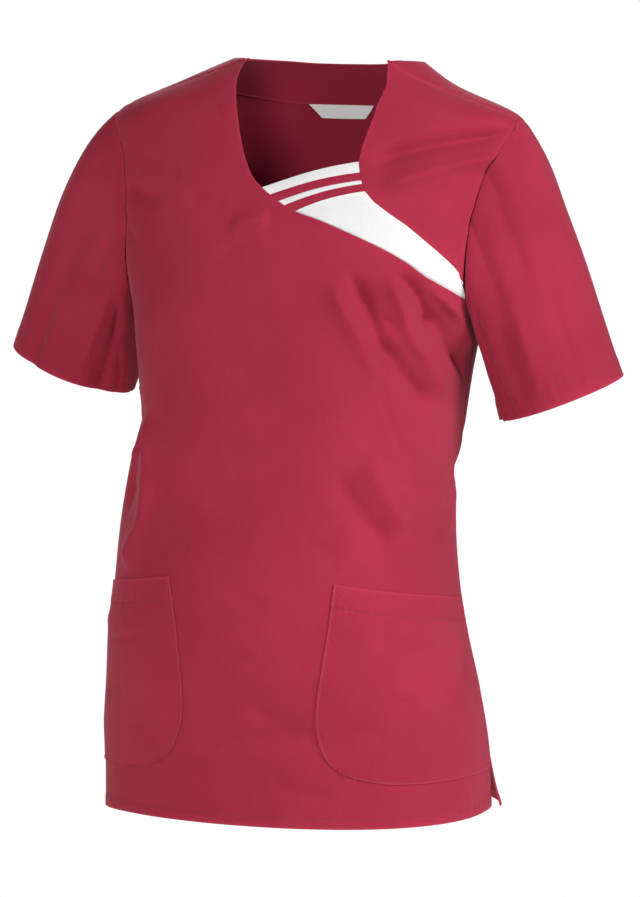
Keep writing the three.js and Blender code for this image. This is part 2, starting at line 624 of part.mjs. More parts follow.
// Each sleeve is one tube whose first ring lies on the armhole, with a turned hem at the cuff.
function sleeveTube(sleeve) {
  const ahead = [...ARMHOLE_TURNS, ...backTurns.slice(1, -1).reverse().map((turn) => turn + 360)];
  const turns = sleeve.side > 0 ? ahead.reverse() : ahead;
  const columns = turns.map((turn) => {
    const length = sleeveCloth(sleeve, turn, 0.8).distanceTo(sleeveCloth(sleeve, turn, 1)) / 0.2;
    const hem = 1 - SLEEVE_HEM / length;
    const rise = STEP_RISE / length;
    const places = [...SLEEVE_STEPS.map((step) => step * hem), hem - rise, hem, 1];
    return places.map((t, j) => {
      const own = (u, v) => sleeveCloth(sleeve, u, v);
      const point = own(turn, t);
      const normal = t > 0
        ? normalOf(own, turn, t, 1.5, 0.02).multiplyScalar(-sleeve.side)
        : armholeNormals(sleeve, turn).arm;
      const isHem = j >= places.length - 2;
      return { point, normal, rise: isHem ? HEM_STEP : 0, thickness: CLOTH + (isHem ? 2 * HEM_STEP : 0) };
    });
  });
  const rows = columns[0].map((_, j) => columns.map((column) => column[j]));
  return wall(sleeve.name, RED, rows, true);
}

const tunic = new THREE.Group();
tunic.add(mainFront(), upperLeftFront(), insertPanel(), ...insertStrips());
tunic.add(back(), neckFacing(), label());
tunic.add(sleeveTube(leftSleeve), sleeveTube(rightSleeve));
tunic.add(pocket('pocket_left', LEFT_POCKET, 1), pocket('pocket_right', RIGHT_POCKET, -1));

export default tunic;
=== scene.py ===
import math

import bpy
import numpy as np
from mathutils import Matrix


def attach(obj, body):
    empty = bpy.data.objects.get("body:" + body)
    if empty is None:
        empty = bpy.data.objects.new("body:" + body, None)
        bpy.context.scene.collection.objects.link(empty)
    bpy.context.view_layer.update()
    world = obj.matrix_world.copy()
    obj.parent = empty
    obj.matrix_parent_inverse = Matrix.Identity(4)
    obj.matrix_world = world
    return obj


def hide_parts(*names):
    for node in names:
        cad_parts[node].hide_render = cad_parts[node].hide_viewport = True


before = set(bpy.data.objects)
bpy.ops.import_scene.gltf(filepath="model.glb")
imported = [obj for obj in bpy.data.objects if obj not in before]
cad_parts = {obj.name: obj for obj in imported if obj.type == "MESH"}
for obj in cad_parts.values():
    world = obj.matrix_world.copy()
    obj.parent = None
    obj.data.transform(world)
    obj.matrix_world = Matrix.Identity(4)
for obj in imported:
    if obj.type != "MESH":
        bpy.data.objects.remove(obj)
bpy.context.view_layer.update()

# Main front: one panel of plain-woven uniform cloth that crosses over from the wearer's right
# shoulder, covers the whole lower front and is turned up twice at the hem. In the tables heights
# are millimetres up from the hem, and angles are degrees round the body, plus to the wearer's left.
NECK_POINT = 694
UNDERARM = 462
SHOULDER_TIP = 643
SLIT = 48
BODY_HEM = 10.4
HEM_STITCH = {"below": 1.2, "dip": 0.55}
HEM_EDGE = {"above": 0.9, "below": 0.5}
SHELL = 0.7
MM = 0.001
SHARP_FROM = 55


def table(columns, rows):
    """Named columns of a table, each as one array."""
    return dict(zip(columns.split(), np.array(rows, float).T))


def rows_of(data):
    """A table's rows, each as one value for every column name."""
    return [dict(zip(data, row)) for row in zip(*data.values())]


BODY = table("height half_width front back middle square lean", [
    [0, 183, 139, 134, -20, 2.25, -14],
    [50, 182, 138, 131, -22, 2.25, -14],
    [110, 175.5, 135, 126, -27, 2.25, -15],
    [165, 168, 131, 121, -32, 2.25, -18],
    [215, 162, 127, 115, -33, 2.25, -19.5],
    [270, 157.5, 121, 110, -29, 2.25, -19.5],
    [315, 155, 118, 110, -23, 2.25, -16.5],
    [360, 152, 119, 113, -17, 2.3, -10],
    [420, 158, 124, 118, -11, 2.35, -9],
    [462, 166, 121, 120, -8, 2.3, -7],
    [510, 184, 110, 118, -5, 2.2, -5],
    [555, 194, 98, 113, -2, 2.1, -4],
    [600, 197, 87, 104, -1, 2.05, -2],
    [643, 195, 74, 88, 0, 2, -1],
    [672, 130.5, 63, 73, 0, 2, -1],
    [695, 86, 52, 58, 0, 2, 10],
])
BUST = {"height": 430, "angle": 38, "out": 7, "spread": 24, "above": 55, "below": 110}
STANCE = {"drop": 0.013, "from": 150, "over": 200}

# The largest folds, which the solids have too, then the finer creases between them.
FOLDS = table("angle height to_angle to_height width rise", [
    [34, 508, 50, 420, 11, -3.6], [44, 446, 70, 376, 10, -3.4], [27, 500, 48, 396, 12, 2.0],
    [47, 504, 60, 426, 8, 2.4], [56, 450, 76, 384, 9, 2.0], [51, 508, 68, 444, 9, -3.7],
    [61, 468, 90, 408, 9, -3.3], [62, 492, 90, 422, 8, 2.3], [44, 336, 66, 268, 12, 2.6],
    [35, 326, 60, 250, 12, -2.4], [24, 268, 42, 238, 11, -0.8], [88, 636, 44, 600, 9, -3.3],
    [86, 612, 46, 580, 10, 2.2], [-26, 539, -3, 552, 10, 1.2], [-76, 577, -57, 560, 10, -1.8],
    [-55, 372, -47, 262, 13, 2.6], [-47, 285, -58, 222, 12, 2.0], [-66, 380, -64, 262, 13, -2.8],
    [-84, 452, -66, 398, 10, -2.4], [0, 110, 32, 82, 12, -0.7], [-22, 72, 26, 85, 12, -1.2],
    [92, 330, 118, 292, 13, -2.6], [104, 366, 146, 318, 13, -3.2], [112, 330, 150, 290, 12, 2.2],
    [255, 362, 216, 312, 13, -3.2], [250, 322, 212, 282, 12, 2.2], [262, 300, 236, 262, 12, -2.4],
    [116, 505, 142, 436, 12, -2.6], [246, 500, 220, 440, 12, -2.2], [126, 612, 138, 520, 14, -1.8],
    [233, 606, 224, 530, 14, -1.6], [148, 170, 152, 12, 17, -2.8], [176, 150, 181, 8, 17, 1.8],
    [214, 160, 210, 14, 17, -2.6],
])
CREASES = table("angle height to_angle to_height width rise", [
    [44, 470, 62, 420, 5, -0.8], [60, 488, 80, 446, 5, -0.9], [70, 452, 86, 418, 4.5, 0.7],
    [80, 430, 92, 398, 5, -0.8], [-88, 430, -74, 404, 5, -0.9], [-90, 404, -70, 378, 5, 0.7],
    [-80, 360, -58, 336, 6, -0.9], [-78, 330, -56, 318, 5, 0.6], [-72, 300, -52, 296, 5, -0.7],
    [52, 322, 78, 300, 6, -0.9], [60, 300, 86, 290, 5, 0.7], [58, 276, 84, 262, 5, -0.8],
    [30, 300, 52, 280, 6, 0.5], [-40, 262, -22, 250, 6, -0.6], [-20, 300, 4, 292, 7, -0.5],
    [6, 262, 26, 256, 7, -0.5], [-12, 214, 14, 206, 8, -0.5], [-10, 160, 16, 150, 8, -0.5],
    [-34, 52, -12, 46, 7, -0.6], [8, 40, 34, 30, 7, -0.6], [-60, 36, -44, 44, 6, -0.5],
    [46, 34, 64, 44, 6, -0.5], [-50, 566, -28, 560, 6, -0.5], [-70, 604, -52, 582, 6, -0.6],
    [-78, 548, -62, 520, 6, -0.7], [-30, 520, -8, 524, 7, -0.5], [84, 600, 66, 590, 5, -0.7],
    [80, 560, 70, 540, 5, -0.6], [-56, 654, -44, 640, 5, -0.5], [98, 352, 124, 330, 6, -0.9],
    [100, 300, 130, 282, 6, 0.7], [120, 402, 150, 372, 7, -0.8], [132, 262, 160, 250, 7, -0.7],
    [258, 340, 230, 318, 6, -0.9], [262, 392, 232, 356, 7, -0.8], [250, 286, 226, 262, 6, 0.7],
    [170, 300, 196, 294, 8, -0.6], [150, 560, 172, 548, 8, -0.7], [210, 552, 188, 540, 8, -0.6],
    [112, 470, 128, 428, 6, 0.7], [250, 470, 236, 430, 6, 0.7], [122, 120, 126, 20, 9, -0.9],
    [236, 116, 232, 22, 9, -0.9], [192, 90, 196, 10, 9, 0.7],
])
FOLD_GAIN = 2.1
CREASE_GAIN = 1.7
FOLD_RADIUS = 150
FOLD_FADE = 0.26
FOLD_CORE = {"share": 0.45, "narrower": 2.2}
WANDER = {"share": 0.35, "turns": 5.1, "shift": 2.4}
SWELL = {"share": 0.22, "turns": 8.3, "shift": 1.7}

SIDE_SEAM = table("height angle", [[0, 100], [250, 99], [400, 95], [462, 90]])
SHOULDER_SEAM = table("height angle", [
    [643, 90], [651, 85.5], [659, 83.3], [669, 79.6], [676, 75.2], [683, 70.5], [688, 68.3], [694, 67],
])
WRAP_EDGE = table("height angle", [
    [478, 75.6], [487, 69], [500, 60.5], [514, 54], [528, 45], [540, 33.8], [549, 22.8], [557, 9.2],
    [565.5, -0.5], [577.3, -11.4], [586, -17.8], [601, -24.1], [620, -30.2], [642, -36.6],
    [668, -45], [687, -57], [694, -63.5],
])
ARMHOLE = {"front_cut": 0.125, "back_cut": 0.1}

LOWER_HEIGHTS = [
    0, BODY_HEM, 11.2, 28, SLIT, 70, 94, 118, 142, 166, 190, 214, 238, 260, 280,
    300, 318, 334, 350, 366, 382, 398, 414, 430, 446, UNDERARM,
]
ARMHOLE_TURNS = [0, 18, 35, 50, 64, 78, 92, 106, 120, 134, 148, 163, 180]
SHOULDER_HEIGHTS = [SHOULDER_TIP, 650, 657, 664, 671, 677, 683, 688, NECK_POINT]
WRAP_HEIGHTS = [
    478.4, 488, 500, 514, 526, 537, 545, 551.5, 557, 562, 565.5, 571.2, 577.3, 592, 612, 636, 664,
    680, NECK_POINT,
]
WRAP_START = 2
FRONT_SPREAD = 0.05
FRONT_LIFT = 0.8
HEM_DROP = {"most": 7.5, "angle": -84, "spread": 24}
FRONT_COLUMNS = 200
FRONT_ROW = 4.0
TOP_ROWS = np.array([0.6, 1.2, 2.0, 3.0])
HEM_ROWS = [1.2, 3, 6, 7.8, 8.6, 9.2, 9.8, 10.4, 11, 11.8, 13]
CROWDING = 0.62

# A pressed seam is a narrow line in a soft roll, and its puckers are of uneven pitch.
SEAM_LINE = {"share": 0.67, "wide": 1.3}
SHOULDER_PRESS = 1.3
PUCKERS_FROM_SEAM = 3
SIDE_PUCKERS = {"pitch": 11.0, "wide": 9.0}
SLIT_END = 6
SLIT_STITCH = {"from_edge": 6.0, "from_hem": 1.5}
WRAP_ABOVE_UNDERARM = (8, 26)
UNEVEN_PITCH = [(0.8, 31), (0.5, 12.7)]

# Each dart is a short seam from the side towards the fullest part of the chest.
DARTS = {
    "left": [(47.6, 404), (49.7, 383), (52.8, 368), (57.2, 349), (63.8, 334)],
    "right": [(-51.7, 480), (-47.4, 453), (-47.4, 430), (-49, 407)],
}
DART_GROOVE = {"deep": 1.0, "wide": 3.2}
DART_ROLL = {"half_width": 0.75, "high": 0.35, "sides": 12}

RED_LIT = (0.332, 0.0212, 0.0495)
RED_DEEP = (0.244, 0.0122, 0.031)
# Lighter red near edges: partly rubbed wear, partly a painted highlight.
RED_RUB_AND_HIGHLIGHT = (0.44, 0.035, 0.072)
RED_SHEEN = (1.0, 0.5, 0.58)
THREAD_RED = (0.26, 0.014, 0.034)
THREADS = 2600
STITCH = {"pitch": 3.1, "long": 2.5, "thick": 0.24, "flat": 1.3, "lift": 0.12, "ply": 0.0007}


def smoothstep(low, high, x):
    """Rises smoothly from 0 at low to 1 at high: 3 t squared minus 2 t cubed."""
    t = np.clip((x - low) / (high - low), 0, 1)
    return t * t * (3 - 2 * t)


def bell(x):
    """A bell curve: exp(-x^2)."""
    return np.exp(-x ** 2)


def unit(vectors):
    """Vectors at length 1."""
    return vectors / np.linalg.norm(vectors, axis=-1, keepdims=True)


def girth(angle):
    """Length round the body on the fold radius."""
    return np.radians(angle) * FOLD_RADIUS


def cubic(t, start, leave, end, arrive):
    """The cubic that goes from start to end as t goes from 0 to 1, at the given slopes."""
    first = (1 + 2 * t) * (1 - t) ** 2 * start + t * (1 - t) ** 2 * leave
    return first + t * t * (3 - 2 * t) * end - t * t * (1 - t) * arrive


def curve(xs, ys, x):
    """A cubic between each two rows, whose slope at a row is the mean of the slopes beside it.
    Past the first and last rows it runs on straight."""
    rise = np.diff(ys) / np.diff(xs)
    slope = np.concatenate([rise[:1], (rise[1:] + rise[:-1]) / 2, rise[-1:]])
    held = np.clip(x, xs[0], xs[-1])
    k = np.clip(np.searchsorted(xs, held, side="right") - 1, 0, len(xs) - 2)
    width = xs[k + 1] - xs[k]
    y = cubic((held - xs[k]) / width, ys[k], width * slope[k], ys[k + 1], width * slope[k + 1])
    return y + np.where(x < held, slope[0], slope[-1]) * (x - held)


def at(data, column, height):
    """A table's column at any height, on the smooth curve through its rows."""
    return curve(data["height"], data[column], np.asarray(height, float))


def turned(angle):
    """The same angle between -180 and 180 degrees."""
    return (np.asarray(angle) + 180) % 360 - 180


def stand(x, y, height):
    """Stance of the wearer: sections lean sideways, the left side drops by a share of x, and z
    counts from the neck points."""
    rise = np.clip((height - STANCE["from"]) / STANCE["over"], 0, 1)
    z = height - STANCE["drop"] * rise * x - NECK_POINT
    return np.stack([x + at(BODY, "lean", height), y, z], -1)


def oval(angle, height):
    """Radius of the body's section: (|sin/a|^n + |cos/b|^n)^(-1/n)."""
    s, c = np.sin(np.radians(angle)), np.cos(np.radians(angle))
    n = at(BODY, "square", height)
    depth = np.where(c > 0, at(BODY, "front", height), at(BODY, "back", height))
    return (np.abs(s / at(BODY, "half_width", height)) ** n + np.abs(c / depth) ** n) ** (-1 / n)


def section_point(angle, height, out=0):
    """Where the section's radius, plus out, lies sideways and front to back at an angle."""
    radius, turn = oval(angle, height) + out, np.radians(angle)
    return radius * np.sin(turn), at(BODY, "middle", height) - radius * np.cos(turn)


def body_point(angle, height):
    """The bare form: the oval, with a soft bump of the chest's room on either side in front."""
    above = height - BUST["height"]
    level = bell(above / np.where(above > 0, BUST["above"], BUST["below"]))
    bumps = sum(bell(turned(angle - side * BUST["angle"]) / BUST["spread"]) for side in (-1, 1))
    return stand(*section_point(angle, height, BUST["out"] * level * bumps), height)


def normal_of(surface, u, v, step_u=0.2, step_v=0.5):
    """Outward normal: the cross product of small steps along u and along v."""
    along_u = surface(u + step_u, v) - surface(u - step_u, v)
    along_v = surface(u, v + step_v) - surface(u, v - step_v)
    return unit(np.cross(along_u, along_v))


def fold_section(off):
    """Section of a fold: exp(-off^2), with a narrower core that creases it."""
    return bell(off) + FOLD_CORE["share"] * bell(FOLD_CORE["narrower"] * off)


def waver(wave, along, k):
    """A sine along fold number k: share * sin(turns * along + shift * k)."""
    return wave["share"] * np.sin(wave["turns"] * along + wave["shift"] * k)


def fold_rise(folds, angle, height, uneven=0.0):
    """Sum of troughs and ridges, faded at both ends: rise times the section at distance / width.
    Uneven folds wander sideways and swell along their length by sines."""
    total = np.zeros(np.broadcast(angle, height).shape)
    for k, fold in enumerate(rows_of(folds)):
        run_x = girth(turned(fold["to_angle"] - fold["angle"]))
        run_z = fold["to_height"] - fold["height"]
        here_x = girth(turned(angle - fold["angle"]))
        here_z = height - fold["height"]
        length = math.hypot(run_x, run_z)
        along = (here_x * run_x + here_z * run_z) / length ** 2
        off = (here_x * run_z - here_z * run_x) / length / fold["width"]
        off = off + uneven * waver(WANDER, along, k)
        swell = 1 + uneven * waver(SWELL, along, k)
        fade = smoothstep(0, FOLD_FADE, np.minimum(along, 1 - along))
        total = total + fold["rise"] * swell * fold_section(off) * fade
    return total


def slack(angle, height):
    """Faint slack of worn cloth: long sine waves that cross each other, under half a millimetre
    high."""
    x = girth(angle)
    wave = lambda across, up, shift=0: np.sin(x / across + height / up + shift)
    return 0.16 * (wave(23, 61, 1.3) + wave(37, -43, 0.4)) + 0.12 * wave(14, 19, 2.0) * wave(-71, 53)


def cloth_point(angle, height):
    """The bare form moved out along its normal by all folds, creases and slack."""
    rise = FOLD_GAIN * fold_rise(FOLDS, angle, height, 0.5)
    rise = rise + CREASE_GAIN * fold_rise(CREASES, angle, height, 1.0) + slack(angle, height)
    return body_point(angle, height) + normal_of(body_point, angle, height) * rise[..., None]


def armhole_place(turn):
    """Angle and height on the armhole's loop: turn 0 underarm, 90 in front, 180 at the shoulder
    tip. The loop cuts into the section by a share that follows the sine squared."""
    turn = np.asarray(turn, float)
    s = np.sin(np.radians(turn))
    height = (UNDERARM + SHOULDER_TIP) / 2 - (SHOULDER_TIP - UNDERARM) / 2 * np.cos(np.radians(turn))
    front = s >= 0
    cut = np.where(front, ARMHOLE["front_cut"], ARMHOLE["back_cut"]) * s ** 2
    n = at(BODY, "square", height)
    across = at(BODY, "half_width", height) * (1 - cut)
    depth = np.where(front, at(BODY, "front", height), at(BODY, "back", height))
    depth = depth * (1 - (1 - cut) ** n) ** (1 / n)
    return np.degrees(np.arctan2(across, np.where(front, depth, -depth))), height


def denser(values, steps=8):
    """The values with even steps between each two."""
    count = (len(values) - 1) * steps + 1
    return np.interp(np.linspace(0, len(values) - 1, count), np.arange(len(values)), values)


def denser_places(places, steps=8):
    """The same for rows of angle and height."""
    return np.stack([denser(column, steps) for column in np.transpose(places)], -1)


def on_edge(seam, side, heights):
    """Places along a seam or edge, as rows of angle and height."""
    heights = denser(heights)
    return np.stack([side * at(seam, "angle", heights), heights], -1)


def on_armhole(side, turns):
    """Places along the armhole, as rows of angle and height."""
    angle, height = armhole_place(denser(turns))
    return np.stack([side * angle, height], -1)


def joined(*parts):
    """One edge from parts that share their end places."""
    return np.concatenate([parts[0]] + [part[1:] for part in parts[1:]])


def even_rows(left, right, spacing, extra=()):
    """Both edges taken at rows about spacing apart on average, with closer rows at the top and
    extra rows at given heights of the left edge."""
    step = np.diff(np.stack([left, right]), axis=1) * [math.radians(FOLD_RADIUS), 1]
    run = np.concatenate([[0], np.cumsum(np.linalg.norm(step, axis=-1).mean(0))])
    runs = np.union1d(np.linspace(0, run[-1], round(run[-1] / spacing) + 1), run[-1] - TOP_ROWS)
    rows = np.interp(runs, run, np.arange(len(run)))
    if len(extra):
        low = left[:, 1] < UNDERARM
        rows = np.union1d(rows, np.interp(extra, left[low, 1], np.arange(len(run))[low]))
    pick = lambda edge: np.stack([np.interp(rows, np.arange(len(edge)), edge[:, k]) for k in (0, 1)], -1)
    return pick(left), pick(right)


def crowded(columns):
    """Shares from 0 to 1 that crowd towards both ends: u - crowding sin(2 pi u) / (2 pi)."""
    u = np.linspace(0, 1, columns + 1)
    return u - CROWDING * np.sin(2 * math.pi * u) / (2 * math.pi)


def between(left, right, columns, spread=lambda u: u, lift=None):
    """Angle and height over a panel: along each row the angle is shared out by spread and the
    height by lift."""
    u = crowded(columns)
    angle = left[:, :1] + (right[:, :1] - left[:, :1]) * spread(u)
    height = left[:, 1:] + (right[:, 1:] - left[:, 1:]) * (lift or spread)(u)
    return angle, height


def grid_normals(points, tube=False):
    """Normals of a grid of points from its central differences."""
    if tube:
        ring = np.concatenate([points[:, -1:], points, points[:, :1]], 1)
        along_u = ring[:, 2:] - ring[:, :-2]
    else:
        along_u = np.gradient(points, axis=1)
    return unit(np.cross(along_u, np.gradient(points, axis=0)))


def run_along(points, axis):
    """Length run along a grid direction from its first row or column."""
    step = np.linalg.norm(np.diff(points, axis=axis), axis=-1)
    start = np.zeros_like(np.take(step, [0], axis))
    return np.concatenate([start, np.cumsum(step, axis)], axis)


def edge_runs(points):
    """Distance of each grid point from the left, right, lower and upper edge."""
    across, up = run_along(points, 1), run_along(points, 0)
    return across, across[:, -1:] - across, up, up[-1:] - up


def pressed(distance, deep=1.1, wide=4.5):
    """A seam pressed flat: the cloth dips by deep at its line, two thirds of it as a narrow line
    exp(-(distance / 1.3)^2) and the rest as a soft roll exp(-(distance / wide)^2)."""
    line = SEAM_LINE["share"] * bell(distance / SEAM_LINE["wide"])
    return -deep * (line + (1 - SEAM_LINE["share"]) * bell(distance / wide))


def puckers(run, distance, rise=0.22, pitch=9.0, wide=7.0):
    """Small ripples that a stitch line draws into cloth: a sine along it of uneven pitch, fading
    away from the line."""
    phase = run / pitch + sum(share * np.sin(run / length) for share, length in UNEVEN_PITCH)
    return rise * np.sin(2 * math.pi * phase) * bell(distance / wide)


def sewn(level):
    """1 along a side seam, and 0 beside the slit below it."""
    return smoothstep(SLIT - SLIT_END, SLIT + SLIT_END, level)


def side_puckers(level, run, distance):
    """Puckers along a side seam, above its slit."""
    return puckers(run, distance, 0.25 * sewn(level), **SIDE_PUCKERS)


def cloth_uv(angle, height):
    """The cloth's own UV: girth on the fold radius, and height."""
    return np.stack([girth(angle), height], -1)


def raised(base, relief, tube=False):
    """A grid moved out along its own normals by its relief."""
    return base + grid_normals(base, tube) * relief[..., None]


def rub_and_highlight_share(*distances, wide=2.0):
    """How much the cloth is lifted towards its edges, partly as rubbed wear and partly as a painted
    highlight: exp(-distance / wide) from the nearest edge.
    """
    return np.exp(-np.minimum.reduce(distances) / wide)


def hem_thickness(level, top=BODY_HEM, more=0.9):
    """Thickness of the cloth, with a hem's turned layers below its top."""
    return SHELL + more * smoothstep(top + 1, top - 1, level)


def mesh_object(name, points, quads, uv, edge=None):
    """A mesh from arrays of points in millimetres and quads, smooth but for its sharp rims."""
    points, uv = points.reshape(-1, 3) * MM, uv.reshape(-1, 2) * MM
    mesh = bpy.data.meshes.new(name)
    mesh.vertices.add(len(points))
    mesh.vertices.foreach_set("co", points.astype(np.float32).ravel())
    mesh.loops.add(quads.size)
    mesh.loops.foreach_set("vertex_index", quads.astype(np.int32).ravel())
    mesh.polygons.add(len(quads))
    mesh.polygons.foreach_set("loop_start", np.arange(0, quads.size, 4, dtype=np.int32))
    mesh.polygons.foreach_set("use_smooth", np.ones(len(quads), bool))
    mesh.update(calc_edges=True)
    mesh.uv_layers.new(name="cloth").data.foreach_set("uv", uv[quads.ravel()].astype(np.float32).ravel())
    if edge is not None:
        values = edge.astype(np.float32).ravel()
        mesh.attributes.new("edge", "FLOAT", "POINT").data.foreach_set("value", values)
    mesh.set_sharp_from_angle(angle=math.radians(SHARP_FROM))
    piece = bpy.data.objects.new(name, mesh)
    bpy.context.scene.collection.objects.link(piece)
    return piece


def wall_quads(index):
    """A quad between each two neighbours of a grid of vertex numbers, in both directions."""
    return np.stack([index[:-1, :-1], index[:-1, 1:], index[1:, 1:], index[1:, :-1]], -1).reshape(-1, 4)


def shell(name, outer, uv, edge, thickness=SHELL, tube=False):
    """A closed shell of cloth: the outer grid, the same grid moved in along its normals by the
    thickness, and rims between them. A tube's columns close on themselves."""
    inner = raised(outer, -np.broadcast_to(thickness, outer.shape[:2]), tube)
    half = outer.shape[0] * outer.shape[1]
    index = np.arange(half).reshape(outer.shape[:2])
    if tube:
        index = np.concatenate([index, index[:, :1]], 1)
    front = wall_quads(index)
    faces = [front, front[:, ::-1] + half]
    for rim in [index[0], index[-1, ::-1]] + ([] if tube else [index[:, -1], index[::-1, 0]]):
        p, q = rim[:-1], rim[1:]
        faces.append(np.stack([q, p, p + half, q + half], -1))
    both = lambda values: np.stack([values, values])
    return mesh_object(name, np.stack([outer, inner]), np.concatenate(faces), both(uv), both(edge))


def feed(tree, made, inputs):
    """Gives each input of a node a link, if a socket is given for it, or else the value given."""
    for name, value in inputs.items():
        if isinstance(value, bpy.types.NodeSocket):
            tree.links.new(value, made.inputs[name])
        else:
            made.inputs[name].default_value = value


def node(tree, kind, inputs={}, **settings):
    """A shader node with its settings and inputs."""
    made = tree.nodes.new("ShaderNode" + kind)
    for name, value in settings.items():
        setattr(made, name, value)
    feed(tree, made, inputs)
    return made


def maths(tree, operation, *terms):
    """The outcome of a maths node on sockets or numbers."""
    return node(tree, "Math", dict(enumerate(terms)), operation=operation).outputs[0]


def ranged(tree, value, **limits):
    """A value mapped from one range to another. A limit named from_min goes to From Min."""
    inputs = {name.replace("_", " ").title(): limit for name, limit in limits.items()}
    return node(tree, "MapRange", {"Value": value, **inputs}).outputs[0]


def mixed(tree, share, *colours):
    """A mix of two colours, each a socket or three numbers."""
    a, b = [c if isinstance(c, bpy.types.NodeSocket) else (*c, 1) for c in colours]
    return node(tree, "Mix", {"Factor": share, "A": a, "B": b}, data_type="RGBA").outputs["Result"]


def group_of(name, inputs, outputs):
    """An empty shader node group with named numbers as its inputs and outputs."""
    group = bpy.data.node_groups.new(name, "ShaderNodeTree")
    for label, value in inputs.items():
        socket = group.interface.new_socket(label, in_out="INPUT", socket_type="NodeSocketFloat")
        socket.default_value = value
    for label in outputs.split():
        group.interface.new_socket(label, in_out="OUTPUT", socket_type="NodeSocketFloat")
    return group, group.nodes.new("NodeGroupInput").outputs, group.nodes.new("NodeGroupOutput")


def weave_group():
    """Plain weave: two sine waves at right angles over the cloth's own UV, one for warp and one
    for weft, each taken where the other dips, plus uneven thread thickness from noise stretched
    along each thread. Puts out a height and a thread shade."""
    group, given, out = group_of("plain_weave", {"Threads": THREADS, "Uneven": 0.5}, "Height Shade")
    uv = node(group, "UVMap", uv_map="cloth").outputs[0]
    scaled = node(group, "VectorMath", {0: uv, "Scale": given["Threads"]}, operation="SCALE").outputs[0]
    axes = node(group, "SeparateXYZ", {0: scaled}).outputs
    waves = [maths(group, "SINE", maths(group, "MULTIPLY", axes[axis], math.pi)) for axis in "XY"]
    streaks = []
    for stretch in ((0.55, 0.02, 1), (0.02, 0.55, 1)):
        mapped = node(group, "Mapping", {"Vector": scaled, "Scale": stretch}).outputs[0]
        streaks.append(node(group, "TexNoise", {"Vector": mapped, "Scale": 1.0, "Detail": 2.0}).outputs[0])
    slub = maths(group, "ADD", *streaks)
    strong = maths(group, "MULTIPLY", slub, given["Uneven"])
    height = maths(group, "ADD", maths(group, "MULTIPLY", *waves), strong)
    feed(group, out, {"Height": height, "Shade": slub})
    return group


def wear_and_highlight_group():
    """Washed cloth: broad noise over Object coordinates for uneven dye, finer noise for lint, and
    a rub along edges from the piece's own edge attribute, partly wear and partly a painted highlight. Puts
    out a tone, a rub with its painted highlight and a bump."""
    group, given, out = group_of("washed_cloth_and_highlight", {"Scale": 9.0}, "Tone Rub Bump")
    place = node(group, "TexCoord").outputs["Object"]
    noise = {"Vector": place, "Detail": 3.0}
    tone = node(group, "TexNoise", {**noise, "Scale": given["Scale"], "Roughness": 0.55}).outputs[0]
    lint = node(group, "TexNoise", {**noise, "Scale": 420.0, "Roughness": 0.6}).outputs[0]
    edge = node(group, "Attribute", attribute_name="edge").outputs["Fac"]
    feed(group, out, {"Tone": tone, "Rub": maths(group, "MULTIPLY", edge, lint), "Bump": lint})
    return group


plain_weave = weave_group()
washed_cloth_and_highlight = wear_and_highlight_group()


def blank_material(name):
    """A new material, its node tree and its shader."""
    material = bpy.data.materials.new(name)
    material.use_nodes = True
    return material, material.node_tree, material.node_tree.nodes["Principled BSDF"]


def cloth_material(name, lit, deep, rub, sheen, tint, uneven=0.5):
    """Woven cloth: base colour between its deep and lit dye by tone and thread shade, lifted near
    edges, partly as rubbed wear and partly as a painted highlight; weave and lint as bump; a soft sheen
    set on the shader itself."""
    material, tree, shader = blank_material(name)
    weave = node(tree, "Group", {"Uneven": uneven}, node_tree=plain_weave).outputs
    wear_and_highlight = node(tree, "Group", node_tree=washed_cloth_and_highlight).outputs
    dye = maths(tree, "MULTIPLY_ADD", wear_and_highlight["Tone"], weave["Shade"], 0.12)
    base = mixed(tree, ranged(tree, dye, from_min=0.25, from_max=0.95), deep, lit)
    fine = {"Height": weave["Height"], "Strength": 0.35, "Distance": 0.00012}
    nap = {"Height": wear_and_highlight["Bump"], "Strength": 0.25, "Distance": 0.0004}
    nap["Normal"] = node(tree, "Bump", fine).outputs[0]
    # The base colour is lifted near edges: partly rubbed wear, partly a painted highlight.
    feed(tree, shader, {
        "Base Color": mixed(tree, wear_and_highlight["Rub"], base, rub),
        "Roughness": ranged(tree, wear_and_highlight["Bump"], to_min=0.72, to_max=0.9),
        "Normal": node(tree, "Bump", nap).outputs[0],
        "Specular IOR Level": 0.12,
        "Sheen Weight": sheen,
        "Sheen Roughness": 0.45,
        "Sheen Tint": (*tint, 1),
    })
    return material


red_cloth = cloth_material("red_cloth", RED_LIT, RED_DEEP, RED_RUB_AND_HIGHLIGHT, 0.12, RED_SHEEN)


def finish_piece(piece, material, slot_name, *nodes):
    """Gives a piece its material, and puts it in its node's place on the one body."""
    piece.data.materials.append(material)
    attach(piece, "root")
    if nodes:
        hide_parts(*nodes)
    return piece


def from_line(places, angle, height):
    """Distance in millimetres of each place from a line of places, by its nearest stretch."""
    here, line = cloth_uv(angle, height), cloth_uv(*np.transpose(places))
    nearest = np.full(angle.shape, np.inf)
    for a, b in zip(line[:-1], line[1:]):
        t = np.clip((here - a) @ (b - a) / ((b - a) @ (b - a)), 0, 1)
        nearest = np.minimum(nearest, np.linalg.norm(here - a - t[..., None] * (b - a), axis=-1))
    return nearest


def hem_drop(angle, height):
    """The hem hangs a little lower towards the wearer's right slit, fading out up the panel."""
    open_share = np.maximum(0, 1 - height / (2 * SLIT))
    return -HEM_DROP["most"] * open_share * bell((angle - HEM_DROP["angle"]) / HEM_DROP["spread"])


def hem_relief(level, run, top=BODY_HEM, rise=0.5):
    """A turned hem: raised by its folded layers, dipped along its stitch line, with puckers."""
    stitch = level - (top - HEM_STITCH["below"])
    fold = rise * smoothstep(top + HEM_EDGE["above"], top - HEM_EDGE["below"], level)
    return fold - HEM_STITCH["dip"] * bell(stitch) + puckers(run, stitch, 0.25, 8.0)


